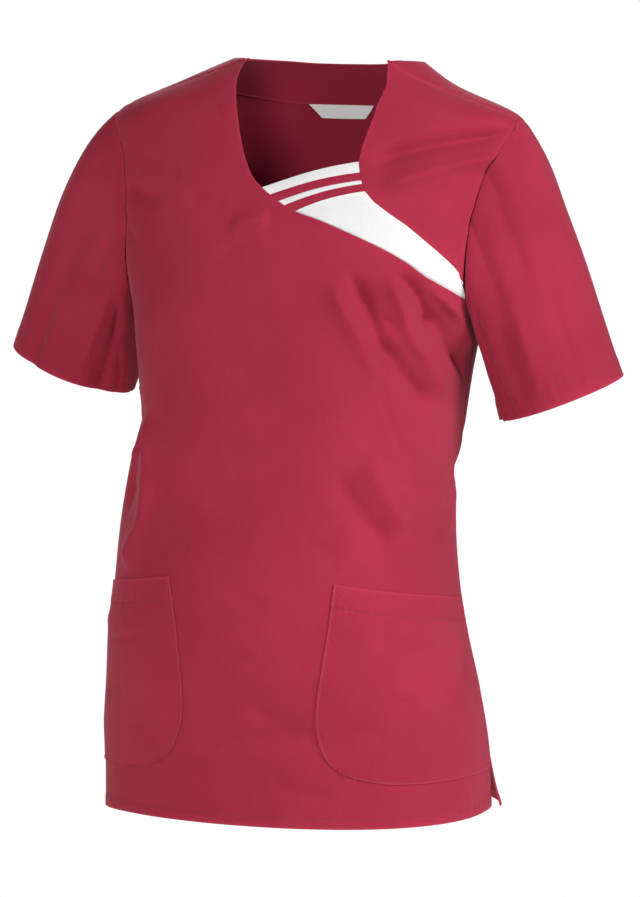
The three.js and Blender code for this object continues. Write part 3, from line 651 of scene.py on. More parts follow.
def along_rows(points, field, value):
    """The line over a grid where a field that grows or shrinks up each column reaches a value."""
    below = field < value if field[0].mean() < field[-1].mean() else field > value
    k, column = np.clip(below.sum(0), 1, len(field) - 1), np.arange(field.shape[1])
    low, high = field[k - 1, column], field[k, column]
    share = np.clip((value - low) / (high - low), 0, 1)[:, None]
    return points[k - 1, column] * (1 - share) + points[k, column] * share


def along_columns(points, field, value):
    """The same line for a field that grows or shrinks along each row."""
    return along_rows(points.transpose(1, 0, 2), field.T, value)


def line_on(outer, normals, field, value, along=along_rows):
    """Points and normals of a grid along the line where a field reaches a value."""
    return [along(grid, field, value) for grid in (outer, normals)]


def tube_quads(rings, sides):
    """Quads of a tube from its rings, with a cap over either end."""
    index = np.arange(rings * sides).reshape(rings, sides)
    cap = np.array([[0, 1 + 2 * k, 2 + 2 * k, 3 + 2 * k] for k in range(sides // 2 - 1)])
    walls = wall_quads(np.concatenate([index, index[:, :1]], 1))[:, ::-1]
    return np.concatenate([walls, cap, index[-1, 0] + cap[:, ::-1]])


def stitches(name, lines):
    """Lockstitches along lines of points and normals: each is a thread that lies on the cloth for
    most of a pitch and dives in at both ends, a six-sided tube that tapers at its ends."""
    share = np.array([-0.5, -0.27, 0.27, 0.5])
    taper = np.array([0.25, 1.0, 1.0, 0.25])
    turn = (np.arange(6) * math.pi / 3)[:, None]
    strips, runs = [], []
    for points, normals in lines:
        run = np.concatenate([[0], np.cumsum(np.linalg.norm(np.diff(points, axis=0), axis=1))])
        count = int(run[-1] / STITCH["pitch"])
        centre = (np.arange(count)[:, None] + 0.5) * STITCH["pitch"] + share * STITCH["long"]
        taken = lambda values: np.stack([np.interp(centre, run, column) for column in values.T], -1)
        place, up = taken(points), unit(taken(normals))
        side = unit(np.cross(place[:, -1:] - place[:, :1], up))
        place = place + up * STITCH["lift"] * (1 - 5 * share ** 2)[:, None]
        ring = side[:, :, None] * np.cos(turn) * STITCH["flat"] + up[:, :, None] * np.sin(turn)
        strips.append(place[:, :, None] + ring * (STITCH["thick"] * taper)[:, None, None])
        runs.append(np.broadcast_to(centre[:, :, None], ring.shape[:3]))
    rings, runs = np.concatenate(strips), np.concatenate(runs)
    start = np.arange(len(rings))[:, None, None] * share.size * turn.size
    quads = (tube_quads(share.size, turn.size) + start).reshape(-1, 4)
    uv = np.stack([runs, np.broadcast_to(turn[:, 0] / (2 * math.pi), runs.shape)], -1)
    return finish_piece(mesh_object(name, rings, quads, uv), sewing_thread, "red_cloth")


def thread_material(name, colour):
    """Spun thread: a sine that climbs round it like its twisted plies, as bump and as painted shade,
    darker in the grooves between the plies.
    """
    material, tree, shader = blank_material(name)
    uv = node(tree, "UVMap", uv_map="cloth").outputs[0]
    climb = (2 * math.pi / STITCH["ply"], 2 * math.pi / MM, 0)
    ply = node(tree, "VectorMath", {0: uv, 1: climb}, operation="DOT_PRODUCT").outputs["Value"]
    twist = maths(tree, "SINE", ply)
    bump = node(tree, "Bump", {"Height": twist, "Strength": 0.5, "Distance": 0.00008}).outputs[0]
    # Painted shade: darker where the twist dips, in the grooves between the plies.
    tint = mixed(tree, ranged(tree, twist, from_min=-1), [0.6 * c for c in colour], colour)
    feed(tree, shader, {"Base Color": tint, "Normal": bump, "Roughness": 0.55})
    return material


sewing_thread = thread_material("sewing_thread", THREAD_RED)

front_left = joined(
    on_edge(SIDE_SEAM, -1, LOWER_HEIGHTS),
    on_armhole(-1, ARMHOLE_TURNS),
    on_edge(SHOULDER_SEAM, -1, SHOULDER_HEIGHTS),
)
front_right = joined(
    on_edge(SIDE_SEAM, 1, LOWER_HEIGHTS),
    on_armhole(1, ARMHOLE_TURNS[:WRAP_START + 1]),
    on_edge(WRAP_EDGE, 1, WRAP_HEIGHTS),
)
front_left, front_right = even_rows(front_left, front_right, FRONT_ROW, HEM_ROWS)
front_spread = lambda u: u + FRONT_SPREAD * np.sin(math.pi * u)
front_lift = lambda u: front_spread(u) + FRONT_LIFT * front_spread(u) ** 2 * (1 - front_spread(u))
angle, level = between(front_left, front_right, FRONT_COLUMNS, front_spread, front_lift)
height = level + hem_drop(angle, level)
base = cloth_point(angle, height)
from_left, from_right, from_low, from_top = edge_runs(base)
crossing = smoothstep(*(UNDERARM + above for above in WRAP_ABOVE_UNDERARM), from_low)
side_seams = sewn(level) * (pressed(from_left) + (1 - crossing) * pressed(from_right))
dart = np.minimum.reduce([from_line(places, angle, level) for places in DARTS.values()])
relief = side_seams + pressed(from_top, SHOULDER_PRESS) + hem_relief(level, from_left)
relief = relief - DART_GROOVE["deep"] * bell(dart / DART_GROOVE["wide"])
relief = relief + side_puckers(level, from_low, from_left)
front_outer = raised(base, relief)
rim = rub_and_highlight_share(from_left, from_right, from_low)


def hem_and_slit_stitches(name, outer):
    """Stitches along the turned hem and up beside both slits of a panel."""
    normals = grid_normals(outer)
    lines = [line_on(outer, normals, level, BODY_HEM - HEM_STITCH["below"])]
    low = (level[:, 0] > SLIT_STITCH["from_hem"]) & (level[:, 0] < SLIT)
    for off in (from_left, from_right):
        lines.append(line_on(outer[low], normals[low], off[low], SLIT_STITCH["from_edge"], along_columns))
    return stitches(name, lines)


front_main = shell("front_main_cloth", front_outer, cloth_uv(angle, height), rim, hem_thickness(level))
finish_piece(front_main, red_cloth, "red_cloth", "front_main")
hem_and_slit_stitches("front_hem_stitches", front_outer)


def dart_roll(name, places):
    """A dart's folded edge: a fine flat roll along its seam, an ellipse carried along the line
    that tapers away at both ends."""
    angle, height = denser_places(denser_places(places), 3).T
    normal = normal_of(cloth_point, angle, height)
    line = cloth_point(angle, height) - normal * DART_GROOVE["deep"]
    along = np.gradient(line, axis=0)
    side = unit(np.cross(along, normal))
    share = np.linspace(0, 1, len(line))[:, None, None]
    taper = np.sqrt(np.clip(4 * share * (1 - share), 0.01, 1))
    turn = np.linspace(0, 2 * math.pi, DART_ROLL["sides"], endpoint=False)[:, None]
    ring = side[:, None] * np.cos(turn) * DART_ROLL["half_width"]
    ring = ring + normal[:, None] * np.sin(turn) * DART_ROLL["high"]
    rings = line[:, None] + ring * taper
    run = np.cumsum(np.linalg.norm(along, axis=1))[:, None]
    uv = np.stack(np.broadcast_arrays(run, turn[:, 0]), -1)
    quads = tube_quads(*rings.shape[:2])
    piece = mesh_object(name, rings, quads, uv, np.zeros(rings.shape[:2]))
    return finish_piece(piece, red_cloth, "red_cloth")


for side, places in DARTS.items():
    dart_roll("front_dart_" + side, places)

# Upper left front: the small panel from the left shoulder seam down to the left armhole, of the
# same cloth. Its inner edge is sewn to the insert below, and is free along the neck above.
INNER_EDGE = table("height angle", [
    [494, 73.6], [505, 70.3], [517, 66], [531, 61], [551, 53.5], [564, 46.7], [576.3, 42.3],
    [585.8, 41.1], [593, 40.7], [603, 40.6], [630, 45.6], [651, 51], [661, 55.2],
    [671.5, 59.8], [678.3, 62.4], [685.4, 64], [694, 64.5],
])
INNER_HEIGHTS = [
    504, 514, 525, 536, 547, 558, 567.5, 576.3, 582.6, 585.8, 592.9, 602.4, 616, 632, 652, 672,
    NECK_POINT,
]
INNER_START = 3
CORNER_AHEAD = 1
INNER_PRESS = 0.9
FREE_NECK = (602, 606)
UPPER_COLUMNS = 64
UPPER_ROW = 2.4


def line_from_armhole(turn, ahead, edge, heights):
    """Places from the armhole at a turn, moved ahead by some degrees, and on along an edge."""
    angle, height = armhole_place(turn)
    return np.concatenate([[[angle - ahead, height]], np.stack([at(edge, "angle", heights), heights], -1)])


inner_line = line_from_armhole(ARMHOLE_TURNS[INNER_START], CORNER_AHEAD, INNER_EDGE, INNER_HEIGHTS)
upper_left = denser_places(inner_line)
upper_right = joined(
    on_armhole(1, ARMHOLE_TURNS[INNER_START:]),
    on_edge(SHOULDER_SEAM, 1, SHOULDER_HEIGHTS),
)
upper_left, upper_right = even_rows(upper_left, upper_right, UPPER_ROW)
angle, level = between(upper_left, upper_right, UPPER_COLUMNS)
base = cloth_point(angle, level)
from_left, from_right, from_low, from_top = edge_runs(base)
relief = (1 - smoothstep(*FREE_NECK, level)) * pressed(from_left, INNER_PRESS)
relief = relief + pressed(from_top, SHOULDER_PRESS) + pressed(from_right)
relief = relief + puckers(from_low, from_left - PUCKERS_FROM_SEAM, 0.15)
rim = rub_and_highlight_share(from_left, from_right)
front_upper = shell("front_upper_left_cloth", raised(base, relief), cloth_uv(angle, level), rim)
finish_piece(front_upper, red_cloth, "red_cloth", "front_upper_left")

# Insert: a white panel and four narrow strips, red and white in turn, that fill the neckline
# between the two fronts. Each strip is cut on its own and sewn to the next along a curved line.
STRIPS = [
    ("insert_red_lower", 557, 562, 576.3, 582.6),
    ("insert_white_middle", 562, 565.5, 582.6, 585.8),
    ("insert_red_upper", 565.5, 571.2, 585.8, 592.9),
    ("insert_white_top", 571.2, 577.3, 592.9, 602.4),
]
STRIP_BOW = 1.8
STRIP_PUFF = 0.45
STRIP_SINK = 0.25
INSERT_PRESS = {"wrap": 1.3, "top": 0.8}
INSERT_COLUMNS = 90
STRIP_ROWS = 9

WHITE_LIT = (0.68, 0.67, 0.67)
WHITE_DEEP = (0.58, 0.57, 0.58)
# Lighter white near edges: partly rubbed wear, partly a painted highlight.
WHITE_RUB_AND_HIGHLIGHT = (0.9, 0.9, 0.9)
white_cloth = cloth_material("white_cloth", WHITE_LIT, WHITE_DEEP, WHITE_RUB_AND_HIGHLIGHT, 0.12, (1, 1, 1), 0.4)

wrap_heights = [h for h in WRAP_HEIGHTS[1:] if h <= STRIPS[0][1]]
inner_count = 1 + sum(h <= STRIPS[0][3] for h in INNER_HEIGHTS)
insert_left = denser_places(line_from_armhole(ARMHOLE_TURNS[WRAP_START], 0, WRAP_EDGE, wrap_heights))
insert_right = denser_places(inner_line[:inner_count])
rows = np.linspace(0, 1, len(insert_left))[:, None]
angle, level = between(insert_left, insert_right, INSERT_COLUMNS)
u = crowded(INSERT_COLUMNS)
bow = STRIP_BOW * 4 * u * (1 - u)
level = level + bow * rows ** 2
base = cloth_point(angle, level)
from_left, from_right, from_low, from_top = edge_runs(base)
relief = pressed(from_left, INSERT_PRESS["wrap"]) + pressed(from_top, INSERT_PRESS["top"])
insert_outer = raised(base, relief + pressed(from_right, INNER_PRESS))
insert_panel = shell("insert_panel_cloth", insert_outer, cloth_uv(angle, level), rub_and_highlight_share(from_top))
finish_piece(insert_panel, white_cloth, "white_cloth", "insert_panel")


def strip_edge(edge, low, high):
    """A strip's short end along an edge, from its lower to its upper line."""
    heights = np.linspace(low, high, STRIP_ROWS)
    return np.stack([at(edge, "angle", heights), heights], -1)


for name, low_wrap, high_wrap, low_inner, high_inner in STRIPS:
    left, right = strip_edge(WRAP_EDGE, low_wrap, high_wrap), strip_edge(INNER_EDGE, low_inner, high_inner)
    angle, level = between(left, right, INSERT_COLUMNS)
    across = np.linspace(0, 1, STRIP_ROWS)[:, None]
    relief = STRIP_PUFF * np.sqrt(4 * across * (1 - across)) * np.ones_like(level) - STRIP_SINK
    outer = raised(cloth_point(angle, level + bow), relief)
    cloth, slot_name = (red_cloth, "red_cloth") if "red" in name else (white_cloth, "white_cloth")
    strip = shell(name + "_cloth", outer, cloth_uv(angle, level), np.zeros_like(level))
    finish_piece(strip, cloth, slot_name, name)
    tall = (high_wrap - low_wrap + high_inner - low_inner) / 2 * MM

# Back: one panel of the same cloth from side seam to side seam, with a shallow neck, turned up at
# the hem. Beside the slits its lower corners stand out further than the front's.
NECK_DIP = 7
SLIT_FLARE = {"out": 9, "reach": 26, "curve": 1.4}
SHOULDER_SHARE = 0.18
BACK_COLUMNS = 180
BACK_ROW = 3.9


def back_dip(u, height):
    """The back's rows dip towards the middle near the neck: (1 - (2u - 1)^2)^1.5."""
    dip = NECK_DIP * np.maximum(1 - (2 * u - 1) ** 2, 0) ** 1.5
    return -dip * smoothstep(SHOULDER_TIP, NECK_POINT, height)


def back_edge(side):
    """The back's outline on one side: side seam, armhole from below, shoulder seam."""
    return joined(
        on_edge(SIDE_SEAM, side, LOWER_HEIGHTS),
        on_armhole(side, [-turn for turn in ARMHOLE_TURNS]),
        on_edge(SHOULDER_SEAM, side, SHOULDER_HEIGHTS),
    )


back_left, back_right = even_rows(back_edge(1), back_edge(-1) + [360, 0], BACK_ROW, HEM_ROWS)
angle, level = between(back_left, back_right, BACK_COLUMNS)
u = crowded(BACK_COLUMNS)
height = level + back_dip(u, level)
base = cloth_point(angle, height)
from_left, from_right, from_low, from_top = edge_runs(base)
from_edge = np.minimum(angle - back_left[:, :1], back_right[:, :1] - angle)
flare = np.maximum(0, 1 - level / SLIT) ** SLIT_FLARE["curve"]
flare = flare * bell(from_edge / SLIT_FLARE["reach"])
relief = SLIT_FLARE["out"] * flare + hem_relief(level, from_left)
relief = relief + sewn(level) * (pressed(from_left) + pressed(from_right))
relief = relief + side_puckers(level, from_low, np.minimum(from_left, from_right))
neck_share = smoothstep(0, SHOULDER_SHARE, u) * smoothstep(0, SHOULDER_SHARE, 1 - u)
relief = relief + (1 - neck_share) * pressed(from_top, SHOULDER_PRESS)
back_outer = raised(base, relief)
rim = rub_and_highlight_share(from_left, from_right, from_low)
back = shell("back_cloth", back_outer, cloth_uv(angle, height), rim, hem_thickness(level))
finish_piece(back, red_cloth, "red_cloth", "back")
hem_and_slit_stitches("back_hem_stitches", back_outer)

# Neck facing: a band of the same cloth inside the back of the neck, sewn along its lower line,
# with a bare ribbon label caught in that seam.
FACING = {"rows": 6, "first_column": 3, "columns": 20, "curve": 14, "stand": 1.05, "thick": 0.6}
FACING_COLUMNS = 120
FACING_ROLL = {"high": 0.35, "at": 1.6, "wide": 0.9, "stitch": 1.8}
LABEL = {"height": 636, "angle": 184, "rise": 13, "half_top": 21, "half_bottom": 13.5}
RIBBON = {"stand": 2.2, "thick": 0.35, "bow": 0.5, "turn": 2.2}
LABEL_WHITE = (0.90, 0.90, 0.89)
LABEL_DEEP = (0.82, 0.82, 0.81)
# Lighter ribbon near edges: partly rubbed wear, partly a painted highlight.
LABEL_RUB_AND_HIGHLIGHT = (0.95, 0.95, 0.95)

facing_heights = SHOULDER_HEIGHTS[-FACING["rows"]:]
first = FACING["first_column"] / FACING["columns"]
facing_left = on_edge(SHOULDER_SEAM, 1, facing_heights)
facing_right = on_edge(SHOULDER_SEAM, -1, facing_heights) + [360, 0]
u = first + (1 - 2 * first) * np.linspace(0, 1, FACING_COLUMNS + 1)
angle = facing_left[:, :1] + (facing_right[:, :1] - facing_left[:, :1]) * u
level = np.repeat(facing_left[:, 1:], FACING_COLUMNS + 1, 1)
across = np.linspace(-1, 1, FACING_COLUMNS + 1)
down = np.linspace(1, 0, len(level))[:, None]
curve_down = FACING["curve"] * down * (1 - np.abs(across) ** 3)
base = cloth_point(angle, level + back_dip(u, level) - curve_down)
from_left, from_right, from_low, from_top = edge_runs(base)
roll = bell((from_low - FACING_ROLL["at"]) / FACING_ROLL["wide"])
facing_outer = raised(base, FACING_ROLL["high"] * roll - FACING["stand"])
uv = cloth_uv(angle, level)
facing = shell("neck_facing_cloth", facing_outer, uv, rub_and_highlight_share(from_low), FACING["thick"])
finish_piece(facing, red_cloth, "red_cloth", "neck_facing")
facing_normals = grid_normals(facing_outer)
facing_inner = facing_outer - facing_normals * FACING["thick"]
seam = line_on(facing_inner, -facing_normals, from_low, FACING_ROLL["stitch"])
stitches("neck_facing_stitches", [seam])

label_ribbon = cloth_material("label_ribbon", LABEL_WHITE, LABEL_DEEP, LABEL_RUB_AND_HIGHLIGHT, 0.3, (1, 1, 1), 0.25)
t = np.linspace(0, 1, 17)[:, None]
u = np.linspace(-1, 1, 41)
half = LABEL["half_bottom"] + (LABEL["half_top"] - LABEL["half_bottom"]) * t
angle = LABEL["angle"] + half * u
level = LABEL["height"] + LABEL["rise"] * t + 0 * u
stand_in = RIBBON["stand"] + RIBBON["bow"] * np.cos(RIBBON["turn"] * u) * (1 - t)
label_outer = raised(cloth_point(angle, level), -stand_in)
uv = cloth_uv(angle, level)
label = shell("neck_label_ribbon", label_outer, uv, np.zeros_like(level), RIBBON["thick"])
finish_piece(label, label_ribbon, "label_ribbon", "neck_label")

# Sleeves: one panel each, sewn into a short tube, set into the armhole and turned up at the cuff.
# Their lines run from the armhole to a tilted oval cuff as cubics, along the arm and the shoulder.
SLEEVES = [
    dict(name="sleeve_left", side=1, out=238, behind=20, height=386, swing_out=20.5, swing_back=7.5,
         across=62, deep=56, head_out=0.66, head_down=0.75, pull=0.0),
    dict(name="sleeve_right", side=-1, out=246, behind=16, height=396, swing_out=21, swing_back=5,
         across=62, deep=54, head_out=0.84, head_down=0.54, pull=0.22),
]
SLEEVE_FOLDS = {
    1: table("turn start end width rise", [
        [52, 0.2, 1, 13, -2.4], [74, 0.45, 0.95, 10, -1.8], [96, 0.1, 0.8, 14, 1.4],
        [20, 0.3, 1.1, 14, -2.2], [250, 0.1, 0.8, 16, -2.2], [300, 0.3, 1.1, 14, -2.4],
        [62, 0.3, 0.9, 5, 0.7], [38, 0.5, 1.05, 6, -0.7], [112, 0.05, 0.5, 6, -0.7],
        [130, 0.3, 0.9, 8, -0.6], [160, 0.1, 0.6, 9, -0.5], [200, 0.2, 0.8, 10, -0.6],
        [275, 0.3, 0.95, 7, 0.7], [325, 0.4, 1.05, 6, 0.7],
    ]),
    -1: table("turn start end width rise", [
        [40, 0.2, 1, 14, -2.4], [112, 0.15, 1.0, 16, -2.4], [246, 0.2, 0.9, 16, -2.2],
        [305, 0.3, 1.1, 14, -2.2], [60, 0.2, 0.8, 6, 0.7], [26, 0.5, 1.05, 6, -0.7],
        [88, 0.05, 0.55, 7, -0.8], [102, 0.5, 1.0, 7, 0.6], [150, 0.15, 0.6, 9, -0.6],
        [205, 0.2, 0.8, 10, -0.6], [270, 0.3, 0.95, 7, 0.7], [330, 0.4, 1.05, 6, 0.7],
    ]),
}
SLEEVE_LINE = {"head_curve": 1.5, "head_back": 0.02, "fullness": 0.3, "leave": 0.62, "arrive": 0.9}
SLEEVE_GAIN = 2.0
SLEEVE_WANDER = {"share": 3.0, "turns": 4.3, "shift": 1.9}
SLEEVE_SWELL = {"share": 0.2, "turns": 6.1, "shift": 1}
SLEEVE_FADE = {"in": 0.25, "out": 0.1}
SLEEVE_RIPPLE = {"high": 0.2, "round": 5, "along": 7, "from": 0.2}
SLEEVE_PRESS = {"armhole": 0.9, "seam": 0.8, "seam_wide": 3.5}
SLEEVE_HEM = 19
SLEEVE_COLUMNS = 190
SLEEVE_ROWS = 92


def sleeve_point(sleeve, turn, t):
    """A sleeve's bare form: cubic lines from the armhole to the cuff's oval, which leave along the
    arm below and along the shoulder's slope above, and arrive along the arm."""
    out, back = math.radians(sleeve["swing_out"]), math.radians(sleeve["swing_back"])
    down = np.array([math.sin(out) * math.cos(back), math.sin(back), -math.cos(out) * math.cos(back)])
    across = np.array([math.cos(out), 0, math.sin(out)])
    forward = unit(np.cross(down, across))
    turn, t = np.broadcast_arrays(np.asarray(turn, float), np.asarray(t, float))
    c, s = np.cos(np.radians(turn))[..., None], np.sin(np.radians(turn))[..., None]
    angle, height = armhole_place(turn)
    seam = np.stack([*section_point(angle, height), height], -1)
    cuff = np.array([sleeve["out"], sleeve["behind"], sleeve["height"]])
    cuff = cuff - across * sleeve["across"] * c + forward * sleeve["deep"] * s
    top = (1 - c) / 2
    head = top ** SLEEVE_LINE["head_curve"]
    slope = np.array([sleeve["head_out"], SLEEVE_LINE["head_back"], -sleeve["head_down"]])
    leave = down * (1 - head) + slope * head - np.array([0, SLEEVE_LINE["fullness"], 0]) * s
    length = np.linalg.norm(cuff - seam, axis=-1, keepdims=True)
    reach = length * (SLEEVE_LINE["leave"] + sleeve["pull"] * top)
    leave = unit(leave) * reach
    point = cubic(t[..., None], seam, leave, cuff, down * length * SLEEVE_LINE["arrive"])
    return stand(point[..., 0] * sleeve["side"], point[..., 1], point[..., 2])


def sleeve_cloth(sleeve, turn, t):
    """The sleeve's bare form, shifted at the armhole onto the body's own line and eased out as
    (1 - t)^2, with the sleeve's folds along its length."""
    angle, height = armhole_place(turn)
    seam = cloth_point(sleeve["side"] * angle, height)
    shift = (seam - sleeve_point(sleeve, turn, 0 * t)) * ((1 - t) ** 2)[..., None]
    bare = lambda a, b: sleeve_point(sleeve, a, b)
    normal = -sleeve["side"] * normal_of(bare, turn, t, 0.5, 0.01)
    rise = np.zeros(t.shape)
    for k, fold in enumerate(rows_of(SLEEVE_FOLDS[sleeve["side"]])):
        off = turned(turn - fold["turn"] + waver(SLEEVE_WANDER, t, k)) / fold["width"]
        fade = smoothstep(fold["start"], fold["start"] + SLEEVE_FADE["in"], t)
        fade = fade * smoothstep(fold["end"] + SLEEVE_FADE["out"], fold["end"] - SLEEVE_FADE["out"], t)
        swell = 1 + waver(SLEEVE_SWELL, t, k)
        rise = rise + SLEEVE_GAIN * fold["rise"] * swell * fold_section(off) * fade
    ripple = np.sin(np.radians(turn) * SLEEVE_RIPPLE["round"] + SLEEVE_RIPPLE["along"] * t)
    rise = rise + SLEEVE_RIPPLE["high"] * ripple * smoothstep(0, SLEEVE_RIPPLE["from"], t)
    return bare(turn, t) + shift + normal * rise[..., None]


for sleeve in SLEEVES:
    turn = np.linspace(0, 360, SLEEVE_COLUMNS, endpoint=False)
    turn = turn[::-1] if sleeve["side"] > 0 else turn
    t = np.linspace(0, 1, SLEEVE_ROWS)
    t, turn = np.meshgrid(t, turn, indexing="ij")
    base = sleeve_cloth(sleeve, turn, t)
    run = run_along(base, 0)
    to_cuff = run[-1:] - run
    around = run_along(np.concatenate([base, base[:, :1]], 1), 1)[:, :-1]
    seam_off = np.abs(turned(turn)) / 360 * around[:, -1:]
    relief = pressed(run, SLEEVE_PRESS["armhole"])
    relief = relief + puckers(around, run - PUCKERS_FROM_SEAM, 0.35, 10.0, 9.0)
    relief = relief + hem_relief(to_cuff, around, SLEEVE_HEM, 0.45)
    relief = relief + pressed(seam_off, SLEEVE_PRESS["seam"], SLEEVE_PRESS["seam_wide"])
    outer = raised(base, relief, True)
    uv = np.stack([around, -run], -1)
    thick = hem_thickness(to_cuff, SLEEVE_HEM)
    piece = shell(sleeve["name"] + "_cloth", outer, uv, rub_and_highlight_share(run, to_cuff), thick, tube=True)
    finish_piece(piece, red_cloth, "red_cloth", sleeve["name"])
    hem = line_on(outer, grid_normals(outer, True), to_cuff, SLEEVE_HEM - HEM_STITCH["below"])
    stitches(sleeve["name"] + "_hem_stitches", [hem])

# Pockets: two patch pockets on the lower front, each with a turned mouth, a rounded lower inner
# corner and its outer edge at the side seam, topstitched near the edge.
POCKET_EDGES = {
    1: table("height angle", [
        [52, 35.5], [62, 31.3], [78, 28.5], [97, 27.6], [120, 28.8], [151, 31.8], [183, 34.8], [224, 37.6],
    ]),
    -1: table("height angle", [
        [52, 35.5], [62, 31], [78, 27.5], [97, 25.5], [120, 25.2], [151, 26], [183, 27.6], [224, 31.6],
    ]),
}
POCKET = {
    "low": 52, "top": 224, "hem": 23, "stand": 1.0, "full": 2.2, "sag": 25, "sag_from": 10,
    "side_margin": 2.5, "foot_drop": 12.5, "foot_reach": 60, "round": 0.43, "foot_curve": 2.6,
    "stitch": 2.4, "stitch_end": 1.5, "least": 0.75,
}
POCKET_FULLNESS = {"edge": (2, 45), "mouth": (-6, 60)}
POCKET_RIM = {"high": 0.3, "from": 3.2, "to": 1.6, "dip": 0.5, "dip_wide": 0.8}
POCKET_MOUTH_ROWS = np.array([-2.4, -1.2, 0, 1.2])
POCKET_COLUMNS = 96
POCKET_ROWS = 124
POCKET_CREASES = {
    1: table("angle height to_angle to_height width rise", [
        [47.9, 176, 75.5, 156, 6, -1.2], [50, 122, 62, 113, 8, -1.3], [40, 96, 52, 74, 6, -0.9],
        [70, 196, 92, 150, 8, 0.9], [84, 150, 90, 96, 9, -0.9], [58, 92, 80, 82, 8, 0.7],
    ]),
    -1: table("angle height to_angle to_height width rise", [
        [-40, 172, -70, 150, 7, -1.0], [-52, 120, -66, 104, 8, -1.1], [-34, 100, -50, 80, 6, -0.8],
        [-62, 190, -86, 148, 8, 0.8], [-80, 140, -88, 90, 9, -0.9],
    ]),
}

for side, name in ((1, "pocket_left"), (-1, "pocket_right")):
    tall = POCKET["top"] - POCKET["low"]
    v = np.union1d(crowded(POCKET_ROWS), 1 - (POCKET["hem"] + POCKET_MOUTH_ROWS) / tall)
    height = POCKET["low"] + tall * v
    inner = side * at(POCKET_EDGES[side], "angle", height)
    outer_edge = side * (at(SIDE_SEAM, "angle", height) - POCKET["side_margin"])
    left, right = (inner, outer_edge) if side > 0 else (outer_edge, inner)
    u = crowded(POCKET_COLUMNS)
    angle = left[:, None] + (right - left)[:, None] * u
    level = height[:, None] + 0 * u
    out = u if side > 0 else 1 - u
    foot = 1 - np.maximum(0, 1 - out / POCKET["round"]) ** POCKET["foot_curve"]
    foot_top = POCKET["low"] + POCKET["foot_reach"]
    drop = POCKET["foot_drop"] * foot * smoothstep(foot_top, POCKET["low"], level)
    mouth = POCKET["top"] - POCKET["hem"]
    sag = POCKET["sag"] * out * smoothstep(POCKET["low"] + POCKET["sag_from"], mouth, level)
    place = level - drop - sag
    base = cloth_point(angle, place)
    from_left, from_right, from_low, from_top = edge_runs(base)
    from_inner, from_side = (from_left, from_right) if side > 0 else (from_right, from_left)
    held = np.minimum(np.minimum(from_inner, from_side), from_low)
    full = smoothstep(*POCKET_FULLNESS["edge"], held) * smoothstep(*POCKET_FULLNESS["mouth"], from_top)
    relief = POCKET["stand"] + POCKET["full"] * full + fold_rise(POCKET_CREASES[side], angle, place, 1.0)
    relief = relief + hem_relief(from_top, from_left, POCKET["hem"], 0.35)
    off = held - POCKET["stitch"]
    relief = relief + POCKET_RIM["high"] * smoothstep(POCKET_RIM["from"], POCKET_RIM["to"], held)
    relief = relief - POCKET_RIM["dip"] * bell(off / POCKET_RIM["dip_wide"])
    relief = relief + puckers(from_low + from_inner, off, 0.22, 7.5, 6.0)
    outer = raised(base, np.maximum(relief, POCKET["least"]))
    # Lighter along the pocket's edges and mouth: partly rubbed wear, partly a painted highlight.
    rim = rub_and_highlight_share(held, from_top, wide=1.8)
    thick = hem_thickness(from_top, POCKET["hem"], 0.6)
    piece = shell(name + "_cloth", outer, cloth_uv(angle, place), rim, thick)
    finish_piece(piece, red_cloth, "red_cloth", name)
    normals, near = grid_normals(outer), POCKET["stitch"]
    down = (from_low > near).all(1) & (from_top > POCKET["stitch_end"]).all(1)
    along = (from_inner > near).all(0)
    lines = [
        line_on(outer, normals, from_top, POCKET["hem"] - HEM_STITCH["below"]),
        line_on(outer[down], normals[down], from_inner[down], near, along_columns),
        line_on(outer[:, along], normals[:, along], from_low[:, along], near),
    ]
    stitches(name + "_stitches", lines)

# Studio: a plain pale round of floor well below the hem, a key light a little above on the wearer's
# left, a low light in front, a weak one on the right and one behind, all wide and soft. The
# surround is white in a band just below the horizon and dim elsewhere.
CAMERA = {"azimuth": 20, "elevation": 6, "distance": 4.0, "target": (0.007, -0.018, -0.362)}
LENS = {"lens": 172.6, "sensor_width": 36, "clip_start": 0.1, "clip_end": 60}
FLOOR = {"radius": 2.3, "below": -1.3, "grey": 0.85}
# Each light's azimuth and elevation in degrees, distance and size in metres, and power in watts.
LIGHTS = {
    "key_light": (76, 27, 3.6, 1.3, 128),
    "front_light": (6, 16, 3.6, 1.2, 70),
    "side_light": (-50, 0, 4.0, 2.4, 24),
    "back_light": (205, 30, 4.0, 2.4, 80),
}
SURROUND = {"white": 1.0, "dim": 0.05, "edges": ((-0.31, -0.24), (0.08, 0.01))}

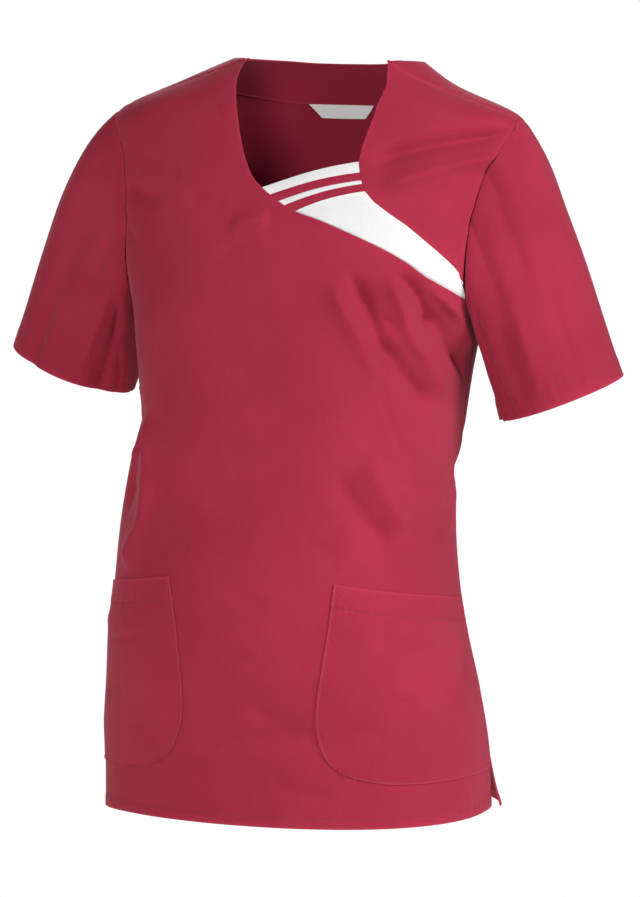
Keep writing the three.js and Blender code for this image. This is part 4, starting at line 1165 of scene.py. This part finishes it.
bpy.ops.mesh.primitive_circle_add(
    vertices=128, radius=FLOOR["radius"], fill_type="NGON", location=(0, 0, FLOOR["below"])
)
floor = bpy.context.object
floor.name = "studio_floor"
paper, tree, shader = blank_material("floor_paper")
feed(tree, shader, {"Base Color": (*[FLOOR["grey"]] * 3, 1), "Roughness": 0.9})
floor.data.materials.append(paper)


def around_object(azimuth, elevation, distance):
    """A place at a distance from the camera's target: azimuth is from the front, plus to the
    wearer's left, and elevation is up from level."""
    turn, tilt = math.radians(azimuth), math.radians(elevation)
    way = np.array([math.sin(turn) * math.cos(tilt), -math.cos(turn) * math.cos(tilt), math.sin(tilt)])
    return np.array(CAMERA["target"]) + distance * way


def placed(name, data, azimuth, elevation, distance):
    """A camera or light at such a place, turned to look back at the target."""
    made = bpy.data.objects.new(name, data)
    bpy.context.scene.collection.objects.link(made)
    made.location = around_object(azimuth, elevation, distance)
    made.rotation_euler = math.pi / 2 - math.radians(elevation), 0, math.radians(azimuth)
    return made


camera = placed(
    "camera", bpy.data.cameras.new("camera"), CAMERA["azimuth"], CAMERA["elevation"], CAMERA["distance"]
)
for name, value in LENS.items():
    setattr(camera.data, name, value)
bpy.context.scene.camera = camera

for name, (azimuth, elevation, distance, size, power) in LIGHTS.items():
    light = placed(name, bpy.data.lights.new(name, "AREA"), azimuth, elevation, distance)
    light.data.shape = "DISK"
    light.data.size = size
    light.data.energy = power

world = bpy.data.worlds.new("surround")
bpy.context.scene.world = world
world.use_nodes = True
sky = world.node_tree
way = node(sky, "TexCoord").outputs["Generated"]
upward = node(sky, "SeparateXYZ", {0: way}).outputs["Z"]
ramps = []
for low, high in SURROUND["edges"]:
    limits = {"Value": upward, "From Min": low, "From Max": high}
    ramps.append(node(sky, "MapRange", limits, interpolation_type="SMOOTHSTEP").outputs[0])
band = maths(sky, "MULTIPLY", *ramps)
strength = ranged(sky, band, to_min=SURROUND["dim"], to_max=SURROUND["white"])
feed(sky, sky.nodes["Background"], {"Color": (1, 1, 1, 1), "Strength": strength})
bpy.context.scene.view_settings.view_transform = "Standard"
